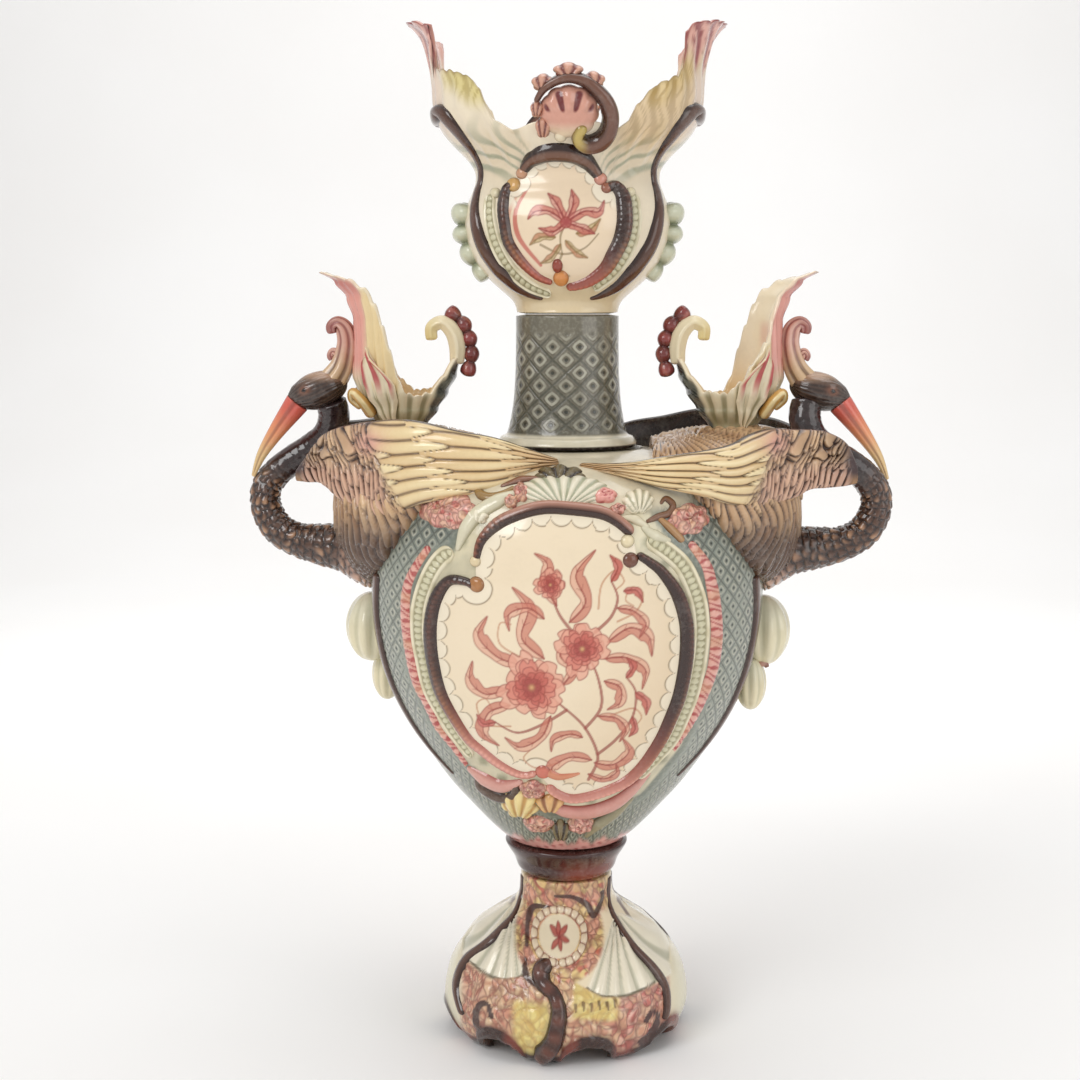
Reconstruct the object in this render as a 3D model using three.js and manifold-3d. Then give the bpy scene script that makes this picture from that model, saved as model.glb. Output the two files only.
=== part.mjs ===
// A three-necked earthenware vase with two crane handles, in millimetres, +Z up, front towards -Y.
// Every casting and applied relief is its own closed solid, luted to its neighbour over a thin slip seam.
// The vase repeats itself on a half turn about +Z, so the left bird is the right bird turned round.
import * as THREE from "three";
import { mergeVertices } from "three/addons/utils/BufferGeometryUtils.js";
import Module from "manifold-3d";

const wasm = await Module();
wasm.setup();

// Driving dimensions
const seam = 0.3; // slip joint between two luted pieces
const footHeight = 98;
const footHalfWidth = 74;
const footDepthShare = 0.93;
const footWall = 7;
const padWidth = 6; // flat ring that the foot stands on
const archRadius = 16;
const archDrop = 3; // how far the arch centre lies under the floor line
const archCount = 8;
const archTurn = 12; // degrees from the front towards the right handle
const tenonRadius = 17;
const collarHeight = 20;
const collarHalfWidth = 37;
const bodyHeight = 237;
const bodyHalfWidth = 116.5;
const bodyDepthShare = 0.86;
const bodyWall = 7;
const bodyFloor = 14;
const neckHeight = 77;
const neckHalfWidth = 41;
const neckBore = 24.5;
const spigotRadius = 28;
const spigotLength = 5;
const topHeight = 168;
const topHalfWidth = 95;
const topDepthShare = 0.8;
const topWall = 5;
const topFloor = 9;
const cupWall = 3.6;
const cupBaseRadius = 14;
const cupStand = 97; // from the vase's axis to the cup's axis
const frameRadius = 3.4; // rolled frame round the front panel
const ribRadius = 2.4;
const reliefLift = 1; // how far a rib's centre stands off the skin that it is luted to
const beadRadius = 4.6;
const beadCount = 5;

// Heights that follow from the stack
const collarBase = footHeight + seam;
const bodyBase = collarBase + collarHeight + seam;
const bodyTop = bodyBase + bodyHeight;
const neckBase = bodyTop + seam;
const topBase = neckBase + neckHeight + seam;
const shoulder = bodyTop - 30; // level that the birds are luted to

// Outlines, bottom to top, as shares of the half width and of the height
const footOutline = [
  [0.76, 0],
  [0.92, 0.06],
  [1, 0.18],
  [0.993, 0.31],
  [0.93, 0.45],
  [0.77, 0.61],
  [0.65, 0.68],
  [0.49, 0.765],
  [0.39, 0.85],
  [0.37, 1],
];
const collarOutline = [
  [0.73, 0],
  [0.8, 0.15],
  [0.86, 0.45],
  [0.96, 0.75],
  [1, 0.92],
  [0.95, 1],
];
const bodyOutline = [
  [0.29, 0],
  [0.386, 0.042],
  [0.506, 0.105],
  [0.618, 0.169],
  [0.755, 0.266],
  [0.867, 0.359],
  [0.948, 0.451],
  [0.991, 0.557],
  [1, 0.641],
  [0.994, 0.726],
  [0.953, 0.819],
  [0.867, 0.895],
  [0.738, 0.949],
  [0.6, 0.979],
  [0.36, 1],
];
const neckOutline = [
  [0.97, 0],
  [1, 0.03],
  [0.95, 0.075],
  [0.87, 0.1],
  [0.82, 0.19],
  [0.775, 0.33],
  [0.745, 0.54],
  [0.735, 0.8],
  [0.735, 1],
];
const topOutline = [
  [0.347, 0],
  [0.432, 0.045],
  [0.516, 0.086],
  [0.568, 0.128],
  [0.605, 0.17],
  [0.625, 0.22],
  [0.632, 0.298],
  [0.621, 0.357],
  [0.589, 0.405],
  [0.563, 0.446],
  [0.568, 0.488],
  [0.621, 0.53],
  [0.695, 0.571],
  [0.758, 0.613],
  [0.8, 0.661],
  [0.816, 0.714],
  [0.821, 0.774],
  [0.838, 0.839],
  [0.88, 0.92],
  [0.94, 0.965],
  [1.04, 1],
];
// The crown's rim: degrees from the front towards +X, and share of the height, over one half turn
const topRim = [
  [-100, 1],
  [-92, 0.985],
  [-80, 0.965],
  [-70, 0.935],
  [-64, 0.88],
  [-61, 0.82],
  [-58, 0.785],
  [-48, 0.758],
  [-40, 0.733],
  [-35, 0.69],
  [-32, 0.62],
  [-25, 0.595],
  [-12, 0.62],
  [0, 0.64],
  [12, 0.62],
  [24, 0.6],
  [32, 0.61],
  [36, 0.69],
  [42, 0.733],
  [50, 0.76],
  [58, 0.782],
  [61, 0.84],
  [65, 0.92],
  [71, 0.96],
  [80, 1],
];

const degrees = Math.PI / 180;

// A smooth line through [key, value] pairs, read at one key
function readAlong(pairs, key) {
  const last = pairs.length - 1;
  if (key <= pairs[0][0]) return pairs[0][1];
  if (key >= pairs[last][0]) return pairs[last][1];
  const i = pairs.findIndex((pair, n) => n < last && key < pairs[n + 1][0]);
  const share = (key - pairs[i][0]) / (pairs[i + 1][0] - pairs[i][0]);
  return THREE.MathUtils.lerp(pairs[i][1], pairs[i + 1][1], share * share * (3 - 2 * share));
}

// A turned or oval form. at(angle, t) is a point of its skin, t running along the outline.
class Form {
  constructor({ outline, halfWidth, height, base, depthShare = 1 }) {
    this.curve = new THREE.SplineCurve(outline.map(([w, h]) => new THREE.Vector2(w * halfWidth, h * height)));
    this.height = height;
    this.base = base;
    this.depthShare = depthShare;
  }

  // Round at both ends and flattened front to back between them
  depthAt(rise) {
    const share = THREE.MathUtils.clamp(rise / this.height, 0, 1);
    return 1 - (1 - this.depthShare) * Math.sqrt(Math.sin(Math.PI * share));
  }

  at(angle, t) {
    const { x: radius, y: rise } = this.curve.getPoint(t);
    const deep = radius * this.depthAt(rise);
    return new THREE.Vector3(radius * Math.sin(angle), -deep * Math.cos(angle), this.base + rise);
  }

  normal(angle, t) {
    const step = 0.002;
    const low = Math.max(t - step, 0);
    const high = Math.min(t + step, 1);
    const up = this.at(angle, high).sub(this.at(angle, low));
    const round = this.at(angle + step, t).sub(this.at(angle - step, t));
    return round.cross(up).normalize();
  }

  // The skin moved out by offset
  skin(angle, t, offset = 0) {
    return this.at(angle, t).addScaledVector(this.normal(angle, t), offset);
  }

  // The outline's t at a share of the height
  rising(share) {
    let low = 0;
    let high = 1;
    for (let turn = 0; turn < 30; turn++) {
      const middle = (low + high) / 2;
      if (this.curve.getPoint(middle).y < share * this.height) low = middle;
      else high = middle;
    }
    return low;
  }

  // A point drawn on the front elevation: across as a share of the half width, up as a share of the height
  drawn(across, up, halfWidth, offset = 0) {
    const t = this.rising(up);
    const radius = this.curve.getPoint(t).x;
    const sine = THREE.MathUtils.clamp((across * halfWidth) / radius, -1, 1);
    return this.skin(Math.asin(sine), t, offset);
  }
}

const solidOfMesh = (vertProperties, faces) =>
  new wasm.Manifold(new wasm.Mesh({ numProp: 3, vertProperties, triVerts: new Uint32Array(faces) }));

// A closed three.js geometry as a solid
function solidOf(geometry) {
  geometry.deleteAttribute("normal").deleteAttribute("uv");
  const merged = mergeVertices(geometry, 1e-4);
  return solidOfMesh(merged.attributes.position.array, merged.index.array);
}

// A solid carried by a matrix. A mirror turns its faces over, so their order is reversed.
function moved(solid, matrix) {
  const { vertProperties, triVerts } = solid.getMesh();
  const points = new THREE.BufferAttribute(new Float32Array(vertProperties), 3).applyMatrix4(matrix);
  return solidOfMesh(points.array, matrix.determinant() < 0 ? [...triVerts].reverse() : triVerts);
}

const halfTurned = (solid) => moved(solid, new THREE.Matrix4().makeRotationZ(Math.PI));
const mirrored = (solid) => moved(solid, new THREE.Matrix4().makeScale(-1, 1, 1));
const bothSides = (solid) => [solid, halfTurned(solid)];

// A closed solid through rings of points. Both end rings are closed by a fan, unless the rings form a loop.
function solidOfRings(rings, loop = false) {
  const count = rings[0].length;
  const points = rings.flat();
  const faces = [];
  const spans = loop ? rings.length : rings.length - 1;
  for (let j = 0; j < spans; j++) {
    const here = j * count;
    const next = ((j + 1) % rings.length) * count;
    for (let i = 0; i < count; i++) {
      const k = (i + 1) % count;
      faces.push([here + i, here + k, next + k], [here + i, next + k, next + i]);
    }
  }
  if (!loop) {
    const centreOf = (ring) => ring.reduce((sum, p) => sum.add(p), new THREE.Vector3()).divideScalar(count);
    const lastRing = (rings.length - 1) * count;
    points.push(centreOf(rings[0]), centreOf(rings.at(-1)));
    for (let i = 0; i < count; i++) {
      const k = (i + 1) % count;
      faces.push([points.length - 2, k, i], [points.length - 1, lastRing + i, lastRing + k]);
    }
  }
  const volume = faces.reduce((sum, [a, b, c]) => sum + points[a].dot(points[b].clone().cross(points[c])), 0);
  if (volume < 0) faces.forEach((face) => face.reverse());
  return solidOfMesh(new Float32Array(points.flatMap((p) => p.toArray())), faces.flat());
}

const evenly = (count) => Array.from({ length: count }, (_, i) => (i / count) * 2 * Math.PI);

// Rings of points round a form's skin, moved out or in by offset, from one place on its outline up to its rim
function skinRings(form, { offset = 0, around, angles = evenly(around), along, from = 0, rims = null }) {
  return Array.from({ length: along + 1 }, (_, j) =>
    angles.map((angle, i) => {
      const share = THREE.MathUtils.lerp(from, rims ? rims[i] : 1, j / along);
      return form.skin(angle, share, offset);
    }),
  );
}

const filled = (form, options) => solidOfRings(skinRings(form, options));

// The solid between outside and inside rings, open at the top. grow raises its rim.
function vessel(outside, inside, grow = 0) {
  const raised = [outside, inside].map((rings) => rings.at(-1).map((p) => p.clone().setZ(p.z + grow)));
  return solidOfRings([...outside, ...(grow ? raised : []), ...inside.reverse()]);
}

// A form's walls, thickened on every side by grow
function walled(form, { wall, from, inAlong, grow = 0, ...mesh }) {
  const outside = skinRings(form, { ...mesh, offset: grow });
  const inside = skinRings(form, { ...mesh, along: inAlong, from, offset: -wall - grow });
  return vessel(outside, inside, grow);
}

// The same skin grown by a seam and closed a little past its ends, for cutting what is luted to it
function grown(form, options) {
  const reach = seam * 4;
  const solid = filled(form, { ...options, offset: seam });
  const low = form.at(0, 0);
  const high = form.at(0, 1);
  const plug = (point, rise) =>
    upright(Math.abs(form.curve.getPoint(point).x) + seam, rise - reach / 2, rise + reach / 2);
  return solid.add(plug(0, low.z)).add(plug(1, high.z));
}

// An upright cylinder about the vase's axis
function upright(radius, low, high, sides = 18) {
  const cylinder = new THREE.CylinderGeometry(radius, radius, high - low, sides);
  return solidOf(cylinder.rotateX(Math.PI / 2).translate(0, 0, (low + high) / 2));
}

// A roll along a line of points. radii are read along the line, and squeeze flattens it in one direction.
function roll(points, radii, { steps = 9, sides = 5, squeeze = 1, across = null, loop = false } = {}) {
  const curve = new THREE.CatmullRomCurve3(points, loop);
  const line = new THREE.CatmullRomCurve3(radii.map((r, i) => new THREE.Vector3(i, r, 0)));
  const count = loop ? steps : steps + 1;
  const rings = [];
  for (let j = 0; j < count; j++) {
    const t = j / steps;
    const centre = curve.getPoint(t);
    const forward = curve.getTangent(t);
    const wide = (across ?? new THREE.Vector3(0, 1, 0)).clone();
    wide.addScaledVector(forward, -wide.dot(forward)).normalize();
    const tall = forward.clone().cross(wide);
    const radius = line.getPoint(t).y;
    rings.push(
      Array.from({ length: sides }, (_, i) => {
        const angle = (i / sides) * 2 * Math.PI;
        return centre
          .clone()
          .addScaledVector(wide, radius * squeeze * Math.cos(angle))
          .addScaledVector(tall, radius * Math.sin(angle));
      }),
    );
  }
  return solidOfRings(rings, loop);
}

// An egg of three radii, tilted about Y
function egg(centre, radii, { tilt = 0, detail = [10, 6] } = {}) {
  const ball = new THREE.SphereGeometry(1, ...detail).rotateZ(Math.PI / 2);
  return solidOf(ball.scale(...radii).rotateY(tilt).translate(...centre));
}

// A solid with its neighbours cut away, keeping the largest piece that is left
function fitted(solid, ...neighbours) {
  const left = neighbours.reduce((rest, neighbour) => rest.subtract(neighbour), solid);
  return left.decompose().sort((a, b) => b.volume() - a.volume())[0];
}

// Glazes
const glaze = (color, roughness = 0.3) => new THREE.MeshStandardMaterial({ color, roughness, metalness: 0 });
const cream = glaze("#ead9b8");
const greyGreen = glaze("#7c8a80");
const paleGreen = glaze("#ccd0b4");
const brown = glaze("#3d2522", 0.25);
const pink = glaze("#c98b80");
const feather = glaze("#a98a68");
const paleFeather = glaze("#d9bd84");
const beakGlaze = glaze("#d07a52");
const beadRed = glaze("#74282a");

const vase = new THREE.Group();

function place(name, solid, material, turned = false) {
  const { vertProperties, triVerts } = solid.getMesh();
  const geometry = new THREE.BufferGeometry()
    .setAttribute("position", new THREE.BufferAttribute(new Float32Array(vertProperties), 3))
    .setIndex(new THREE.BufferAttribute(new Uint32Array(triVerts), 1));
  geometry.computeVertexNormals();
  const mesh = new THREE.Mesh(geometry, material);
  mesh.name = name;
  mesh.rotation.z = turned ? Math.PI : 0;
  vase.add(mesh);
}

// The five castings on the axis
const foot = new Form({
  outline: footOutline,
  halfWidth: footHalfWidth,
  height: footHeight,
  base: 0,
  depthShare: footDepthShare,
});
const collar = new Form({
  outline: collarOutline,
  halfWidth: collarHalfWidth,
  height: collarHeight,
  base: collarBase,
});
const body = new Form({
  outline: bodyOutline,
  halfWidth: bodyHalfWidth,
  height: bodyHeight,
  base: bodyBase,
  depthShare: bodyDepthShare,
});
const neck = new Form({ outline: neckOutline, halfWidth: neckHalfWidth, height: neckHeight, base: neckBase });
const top = new Form({
  outline: topOutline,
  halfWidth: topHalfWidth,
  height: topHeight,
  base: topBase,
  depthShare: topDepthShare,
});

// Share of the crown's outline that stands at one angle
function rimShare(angle) {
  let turned = angle / degrees;
  while (turned > 80) turned -= 180;
  while (turned < -100) turned += 180;
  return top.rising(readAlong(topRim, turned));
}

const footMesh = { around: 24, along: 7 };
const bodyMesh = { around: 24, along: 10 };
const neckMesh = { around: 16, along: 6 };
// The crown's mesh is finest where its rim steps up into the horns
const quarter = [0, 14, 25, 32, 37, 47, 57, 62, 72].map((turn) => turn * degrees);
const halfway = [...quarter, Math.PI / 2, ...quarter.slice(1).map((turn) => Math.PI - turn).reverse()];
const topMesh = { angles: [...halfway, ...halfway.map((turn) => turn + Math.PI)], along: 9 };
const topRims = topMesh.angles.map(rimShare);
const footCutter = grown(foot, footMesh);
const bodyCutter = grown(body, bodyMesh);
const neckCutter = grown(neck, neckMesh);
const topBottom = top.rising(topFloor / topHeight);
const topWalls = { ...topMesh, rims: topRims, wall: topWall, from: topBottom, inAlong: 5 };
const topCutter = walled(top, { ...topWalls, grow: seam });
const tenonTop = bodyBase + bodyFloor / 2;
const spigotFit = spigotRadius + seam;

function footCasting() {
  const inside = [];
  const standing = foot.at(Math.PI / 2, 0).x - padWidth;
  const flatRing = (z) =>
    Array.from({ length: footMesh.around }, (_, i) => {
      const angle = (i / footMesh.around) * 2 * Math.PI;
      return new THREE.Vector3(standing * Math.sin(angle), -standing * footDepthShare * Math.cos(angle), z);
    });
  inside.push(flatRing(-footWall), flatRing(footWall));
  for (const share of [0.16, 0.38, 0.58, 0.7]) {
    inside.push(
      Array.from({ length: footMesh.around }, (_, i) =>
        foot.skin((i / footMesh.around) * 2 * Math.PI, foot.rising(share), -footWall),
      ),
    );
  }
  let solid = filled(foot, footMesh).add(upright(tenonRadius, footHeight - footWall, tenonTop, 16));
  solid = solid.subtract(solidOfRings(inside));
  for (let i = 0; i < archCount / 2; i++) {
    const angle = (i / archCount) * 2 * Math.PI + archTurn * degrees;
    const arch = new THREE.CylinderGeometry(archRadius, archRadius, footHalfWidth * 2.4, 12);
    solid = solid.subtract(solidOf(arch.rotateZ(angle).translate(0, 0, -archDrop)));
  }
  return fitted(solid);
}

function bodyCasting() {
  const from = body.rising(bodyFloor / bodyHeight);
  const hollow = filled(body, { around: 20, along: 6, offset: -bodyWall, from });
  return fitted(
    filled(body, bodyMesh),
    hollow,
    upright(spigotFit, bodyTop - bodyWall * 2, bodyTop + bodyWall),
    upright(tenonRadius + seam, bodyBase - bodyWall, tenonTop + seam, 16),
  );
}

function neckCasting() {
  const spigots = upright(spigotRadius, neckBase - spigotLength, neckBase + neckHeight + spigotLength);
  const bore = upright(neckBore, neckBase - neckHeight, topBase + neckHeight);
  return fitted(filled(neck, neckMesh).add(spigots), bore);
}

function topCasting() {
  return fitted(
    walled(top, topWalls),
    upright(neckBore, topBase - topFloor, topBase + topFloor * 3),
    upright(spigotFit, topBase - topFloor, topBase + spigotLength + seam),
  );
}

place("foot_base", footCasting(), cream);
place(
  "waist_collar",
  fitted(filled(collar, { around: 18, along: 4 }), upright(tenonRadius + seam, 0, bodyTop, 16)),
  brown,
);
place("vase_body", bodyCasting(), greyGreen);
place("vase_neck", neckCasting(), greyGreen);
place("crown_vase", topCasting(), cream);

// Places a relief on the front and its twin, turned half round, on the back
function placeTwice(name, solid, material) {
  place(`${name}_front`, solid, material);
  place(`${name}_back`, solid, material, true);
}

// Four ribs of one shape, cut to lie on a form: two on the front, and their twins on the back
function placeFour(name, solid, ...cutters) {
  const right = fitted(solid, ...cutters);
  const left = fitted(mirrored(solid), ...cutters);
  place(`${name}_front_right`, right, brown);
  place(`${name}_front_left`, left, brown);
  place(`${name}_back_left`, right, brown, true);
  place(`${name}_back_right`, left, brown, true);
}

// A roll lying on a form, drawn as [across, up] shares of the front elevation
function drawnRoll(form, halfWidth, path, radii, options) {
  const middle = path[Math.floor(path.length / 2)];
  const across = form.normal(Math.asin(THREE.MathUtils.clamp(middle[0], -0.8, 0.8)), form.rising(middle[1]));
  const points = path.map(([a, u]) => form.drawn(a, u, halfWidth, reliefLift));
  return roll(points, radii, { across, ...options });
}

// A low round boss lying on a form
function boss(form, halfWidth, [across, up], [wide, tall, proud], detail = [8, 5]) {
  const centre = form.drawn(across, up, halfWidth);
  const ball = new THREE.SphereGeometry(1, ...detail).scale(wide, proud, tall);
  return solidOf(ball.rotateZ(Math.atan2(centre.x, -centre.y)).translate(...centre));
}

// The rolled frame round the panel: an arch over the top and a C-scroll down each side
const archPath = [
  [-0.41, 0.75],
  [-0.38, 0.8],
  [-0.3, 0.855],
  [-0.15, 0.89],
  [0.02, 0.9],
  [0.17, 0.89],
  [0.3, 0.85],
];
const leftPath = [
  [-0.44, 0.725],
  [-0.52, 0.715],
  [-0.6, 0.665],
  [-0.63, 0.59],
  [-0.62, 0.5],
  [-0.55, 0.41],
  [-0.42, 0.32],
  [-0.25, 0.25],
  [-0.12, 0.235],
];
const rightPath = [
  [0.36, 0.785],
  [0.46, 0.745],
  [0.55, 0.67],
  [0.585, 0.58],
  [0.565, 0.48],
  [0.5, 0.375],
  [0.4, 0.285],
  [0.26, 0.215],
  [0.12, 0.18],
  [0, 0.185],
];
const archRoll = (grow) =>
  drawnRoll(body, bodyHalfWidth, archPath, [2.4, frameRadius, frameRadius, 2.4].map((r) => r + grow));
const sideRoll = (path) =>
  drawnRoll(body, bodyHalfWidth, path, [frameRadius, frameRadius * 1.2, frameRadius, 1.6], { steps: 11 });
const frameArch = fitted(archRoll(0), bodyCutter);
const archGrown = archRoll(seam);
const frameLeft = fitted(
  sideRoll(leftPath).add(boss(body, bodyHalfWidth, leftPath[0], [6.5, 5.5, 5])),
  bodyCutter,
  archGrown,
);
const frameRight = fitted(
  sideRoll(rightPath).add(boss(body, bodyHalfWidth, rightPath[0], [5.5, 5.5, 5])),
  bodyCutter,
  archGrown,
);
placeTwice("panel_frame_arch", frameArch, brown);
placeTwice("panel_frame_left", frameLeft, brown);
placeTwice("panel_frame_right", frameRight, brown);

// The garland over the frame: a fluted shell between two roses, on one scrolled stem
const garlandPath = [
  [-0.66, 0.83],
  [-0.5, 0.88],
  [-0.28, 0.92],
  [0.02, 0.945],
  [0.3, 0.925],
  [0.5, 0.885],
  [0.67, 0.835],
];
const garland = drawnRoll(body, bodyHalfWidth, garlandPath, [4, 4, 5, 5, 5, 4, 4])
  .add(boss(body, bodyHalfWidth, [-0.53, 0.865], [13, 9, 6]))
  .add(boss(body, bodyHalfWidth, [0.58, 0.86], [12, 9, 6]))
  .add(boss(body, bodyHalfWidth, [0.02, 0.94], [24, 7, 8]));

// The shell and scrolls that close the frame at its foot
const keystonePath = [
  [-0.44, 0.2],
  [-0.3, 0.165],
  [-0.15, 0.135],
  [0, 0.11],
  [0.13, 0.12],
];
const keystone = fitted(
  drawnRoll(body, bodyHalfWidth, keystonePath, [2.4, 4, 5, 4, 2.4]).add(
    boss(body, bodyHalfWidth, [-0.16, 0.15], [10, 9, 5]),
  ),
  bodyCutter,
);
placeTwice("panel_keystone", keystone, pink);

// Reliefs of the foot
const footRibPath = [
  [24, 0.83],
  [36, 0.72],
  [48, 0.6],
  [56, 0.47],
  [60, 0.33],
  [62, 0.2],
  [61, 0.1],
];
const footRib = roll(
  footRibPath.map(([turn, up]) => foot.skin(turn * degrees, foot.rising(up), reliefLift)),
  [1.6, ribRadius, ribRadius, ribRadius * 1.3],
  { across: new THREE.Vector3(0.7, -0.5, 0.5).normalize(), sides: 5 },
);
placeFour("foot_rib", footRib, footCutter);

const medallionCentre = 0.7;
const medallionPath = Array.from({ length: 12 }, (_, i) => {
  const turn = (i / 12) * 2 * Math.PI;
  return [-0.03 + 0.21 * Math.cos(turn), medallionCentre + 0.115 * Math.sin(turn)];
});
const medallion = fitted(
  drawnRoll(foot, footHalfWidth, medallionPath, [2.6, 2.6], { loop: true, steps: 14, sides: 5 }),
  footCutter,
);
const footScrollPath = [
  [-0.12, 0.56],
  [-0.16, 0.48],
  [-0.1, 0.38],
  [-0.07, 0.26],
  [-0.12, 0.15],
  [-0.26, 0.11],
];
const medallionGrown = drawnRoll(foot, footHalfWidth, medallionPath, [2.6 + seam, 2.6 + seam], {
  loop: true,
  steps: 14,
  sides: 5,
});
const footScroll = fitted(
  drawnRoll(foot, footHalfWidth, footScrollPath, [3.4, 4.6, 4, 5, 5.5, 3]),
  footCutter,
  medallionGrown,
);
placeTwice("foot_medallion_ring", medallion, cream);
placeTwice("foot_scroll", footScroll, brown);

// Reliefs of the crown: an oval frame, four S-ribs with hooked heads, a shell with its scroll, and side beads
const ovalPath = Array.from({ length: 14 }, (_, i) => {
  const turn = (i / 14) * 2 * Math.PI;
  return [0.345 * Math.cos(turn), 0.3 + 0.215 * Math.sin(turn)];
});
const oval = drawnRoll(top, topHalfWidth, ovalPath, [3.2, 3.2], { loop: true, steps: 14, sides: 5 });
placeTwice("crown_oval_frame", fitted(oval, topCutter), brown);

const crownRibPath = [
  [26, 0.065],
  [38, 0.1],
  [48, 0.155],
  [56, 0.215],
  [63, 0.29],
  [69, 0.35],
  [72, 0.42],
  [71, 0.49],
  [67, 0.55],
  [65, 0.6],
  [68, 0.655],
  [77, 0.675],
  [84, 0.63],
];
const crownRib = roll(
  crownRibPath.map(([turn, up]) => top.skin(turn * degrees, top.rising(up), reliefLift)),
  [1.6, 2.6, 3, 2.6, 2, 2.4, 3],
  { across: new THREE.Vector3(0.9, -0.4, 0).normalize(), steps: 14, sides: 5 },
);
placeFour("crown_rib", crownRib, topCutter);

const crestScrollPath = [
  [-0.19, 0.66],
  [-0.15, 0.72],
  [-0.04, 0.76],
  [0.1, 0.75],
  [0.21, 0.7],
  [0.25, 0.635],
  [0.2, 0.575],
  [0.11, 0.56],
  [0.06, 0.6],
];
const crest = fitted(
  boss(top, topHalfWidth, [0.02, 0.665], [22, 18, 5], [12, 6]).add(
    drawnRoll(top, topHalfWidth, crestScrollPath, [1.8, 3.2, 3.6, 4.2], { steps: 11 }),
  ),
  topCutter,
);
placeTwice("crown_crest", crest, pink);

const sideBeading = fitted(
  roll(
    [0.13, 0.2, 0.27, 0.33, 0.4].map((up) => top.at(Math.PI / 2, top.rising(up))),
    [3, 6.5, 4, 8, 4.5, 9.5, 4],
    { steps: 14, sides: 7 },
  ),
  topCutter,
);
place("crown_beading_right", sideBeading, paleGreen);
place("crown_beading_left", sideBeading, paleGreen, true);

// The right bird. Its places are [out from the axis, towards the back, above the shoulder].
const birdAt = ([out, back, up]) => new THREE.Vector3(out, back, shoulder + up);
const birdReach = bodyHalfWidth; // the bird's places below were laid out for this half width
const outward = (out) => birdReach + out;

const birdNeckPath = [
  [outward(-6), 0, -37],
  [outward(5), 0, -34],
  [outward(16), -1, -31.5],
  [outward(31), -2, -29.5],
  [outward(45), -4, -27],
  [outward(57), -5, -20.5],
  [outward(64), -6, -9],
  [outward(64.5), -7, 3],
  [outward(59), -9, 12],
  [outward(49.5), -11, 20],
  [outward(37), -11, 28],
  [outward(27), -8, 36],
  [outward(22.5), -5, 47],
  [outward(24), -2, 57],
].map(birdAt);
const birdNeckRadii = [20, 18, 14.5, 12.2, 10, 9.4, 9, 8.7, 8.6, 8.6, 8.6, 8.8, 9.2, 9];
const neckOptions = { steps: 17, sides: 8 };
const birdNeckGrown = roll(birdNeckPath, birdNeckRadii.map((r) => r + seam), neckOptions);
const headCentre = birdAt([outward(33), -1, 63]);
const headRadii = [19, 12.5, 13.5];
const headTilt = 18 * degrees;
const head = egg(headCentre, headRadii, { tilt: headTilt, detail: [10, 6] });
const headGrown = egg(headCentre, headRadii.map((r) => r + seam), { tilt: headTilt, detail: [10, 6] });
const birdNeck = fitted(roll(birdNeckPath, birdNeckRadii, neckOptions), bodyCutter, headGrown);

const beakPath = [
  [outward(43), -1, 56],
  [outward(56), -2, 39],
  [outward(66), -3, 24],
  [outward(71.5), -4, 11],
].map(birdAt);
const beak = fitted(roll(beakPath, [7.5, 5, 3, 1.2], { steps: 6, sides: 7 }), headGrown, birdNeckGrown);

// Cross-sections of the breast and back: out, half breadth, half height, height of the middle
const torsoSections = [
  [outward(20), 8, 12, -3],
  [outward(17), 25, 26, -3],
  [outward(8), 43, 40, -3],
  [outward(-6), 56, 46, -4],
  [outward(-21), 63, 42, 0],
  [outward(-36), 64, 34, 7],
  [outward(-52), 60, 24, 14],
  [outward(-68), 48, 12, 22],
];
function torsoSolid(offset) {
  return solidOfRings(
    torsoSections.map(([out, broad, tall, up]) =>
      Array.from({ length: 14 }, (_, i) => {
        const angle = (i / 14) * 2 * Math.PI;
        const back = (broad + offset) * Math.cos(angle);
        return birdAt([out, back, up + (tall + offset) * Math.sin(angle)]);
      }),
    ),
  );
}
const torso = fitted(torsoSolid(0), bodyCutter, neckCutter, birdNeckGrown);
const torsoGrown = torsoSolid(seam);

// A scalloped shell of two lobes on each side, under the bird
const upperLobe = new THREE.Vector3(bodyHalfWidth + 1, -2, bodyBase + 0.54 * bodyHeight);
const lowerLobe = new THREE.Vector3(bodyHalfWidth * 0.94, -10, bodyBase + 0.41 * bodyHeight);
const sideShellSolid = (grow) =>
  egg(upperLobe, [15 + grow, 20 + grow, 21 + grow]).add(
    egg(lowerLobe, [9 + grow, 11 + grow, 16 + grow]),
  );
const sideShell = fitted(sideShellSolid(0), bodyCutter, birdNeckGrown, torsoGrown);
place("side_shell_right", sideShell, paleGreen);
place("side_shell_left", sideShell, paleGreen, true);

// Ribs down both edges of each side, from under the birds to the waist
const sideRibAngle = 77;
const sideRibSpan = [0.07, 0.18, 0.32, 0.46, 0.6, 0.72];
const sideRib = roll(
  sideRibSpan.map((up) => body.skin(sideRibAngle * degrees, body.rising(up), reliefLift)),
  [1.4, ribRadius, ribRadius, ribRadius],
  { across: new THREE.Vector3(1, -0.3, 0).normalize(), sides: 5 },
);
placeFour("side_rib", sideRib, bodyCutter, ...bothSides(torsoGrown), ...bothSides(sideShellSolid(seam)));

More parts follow.
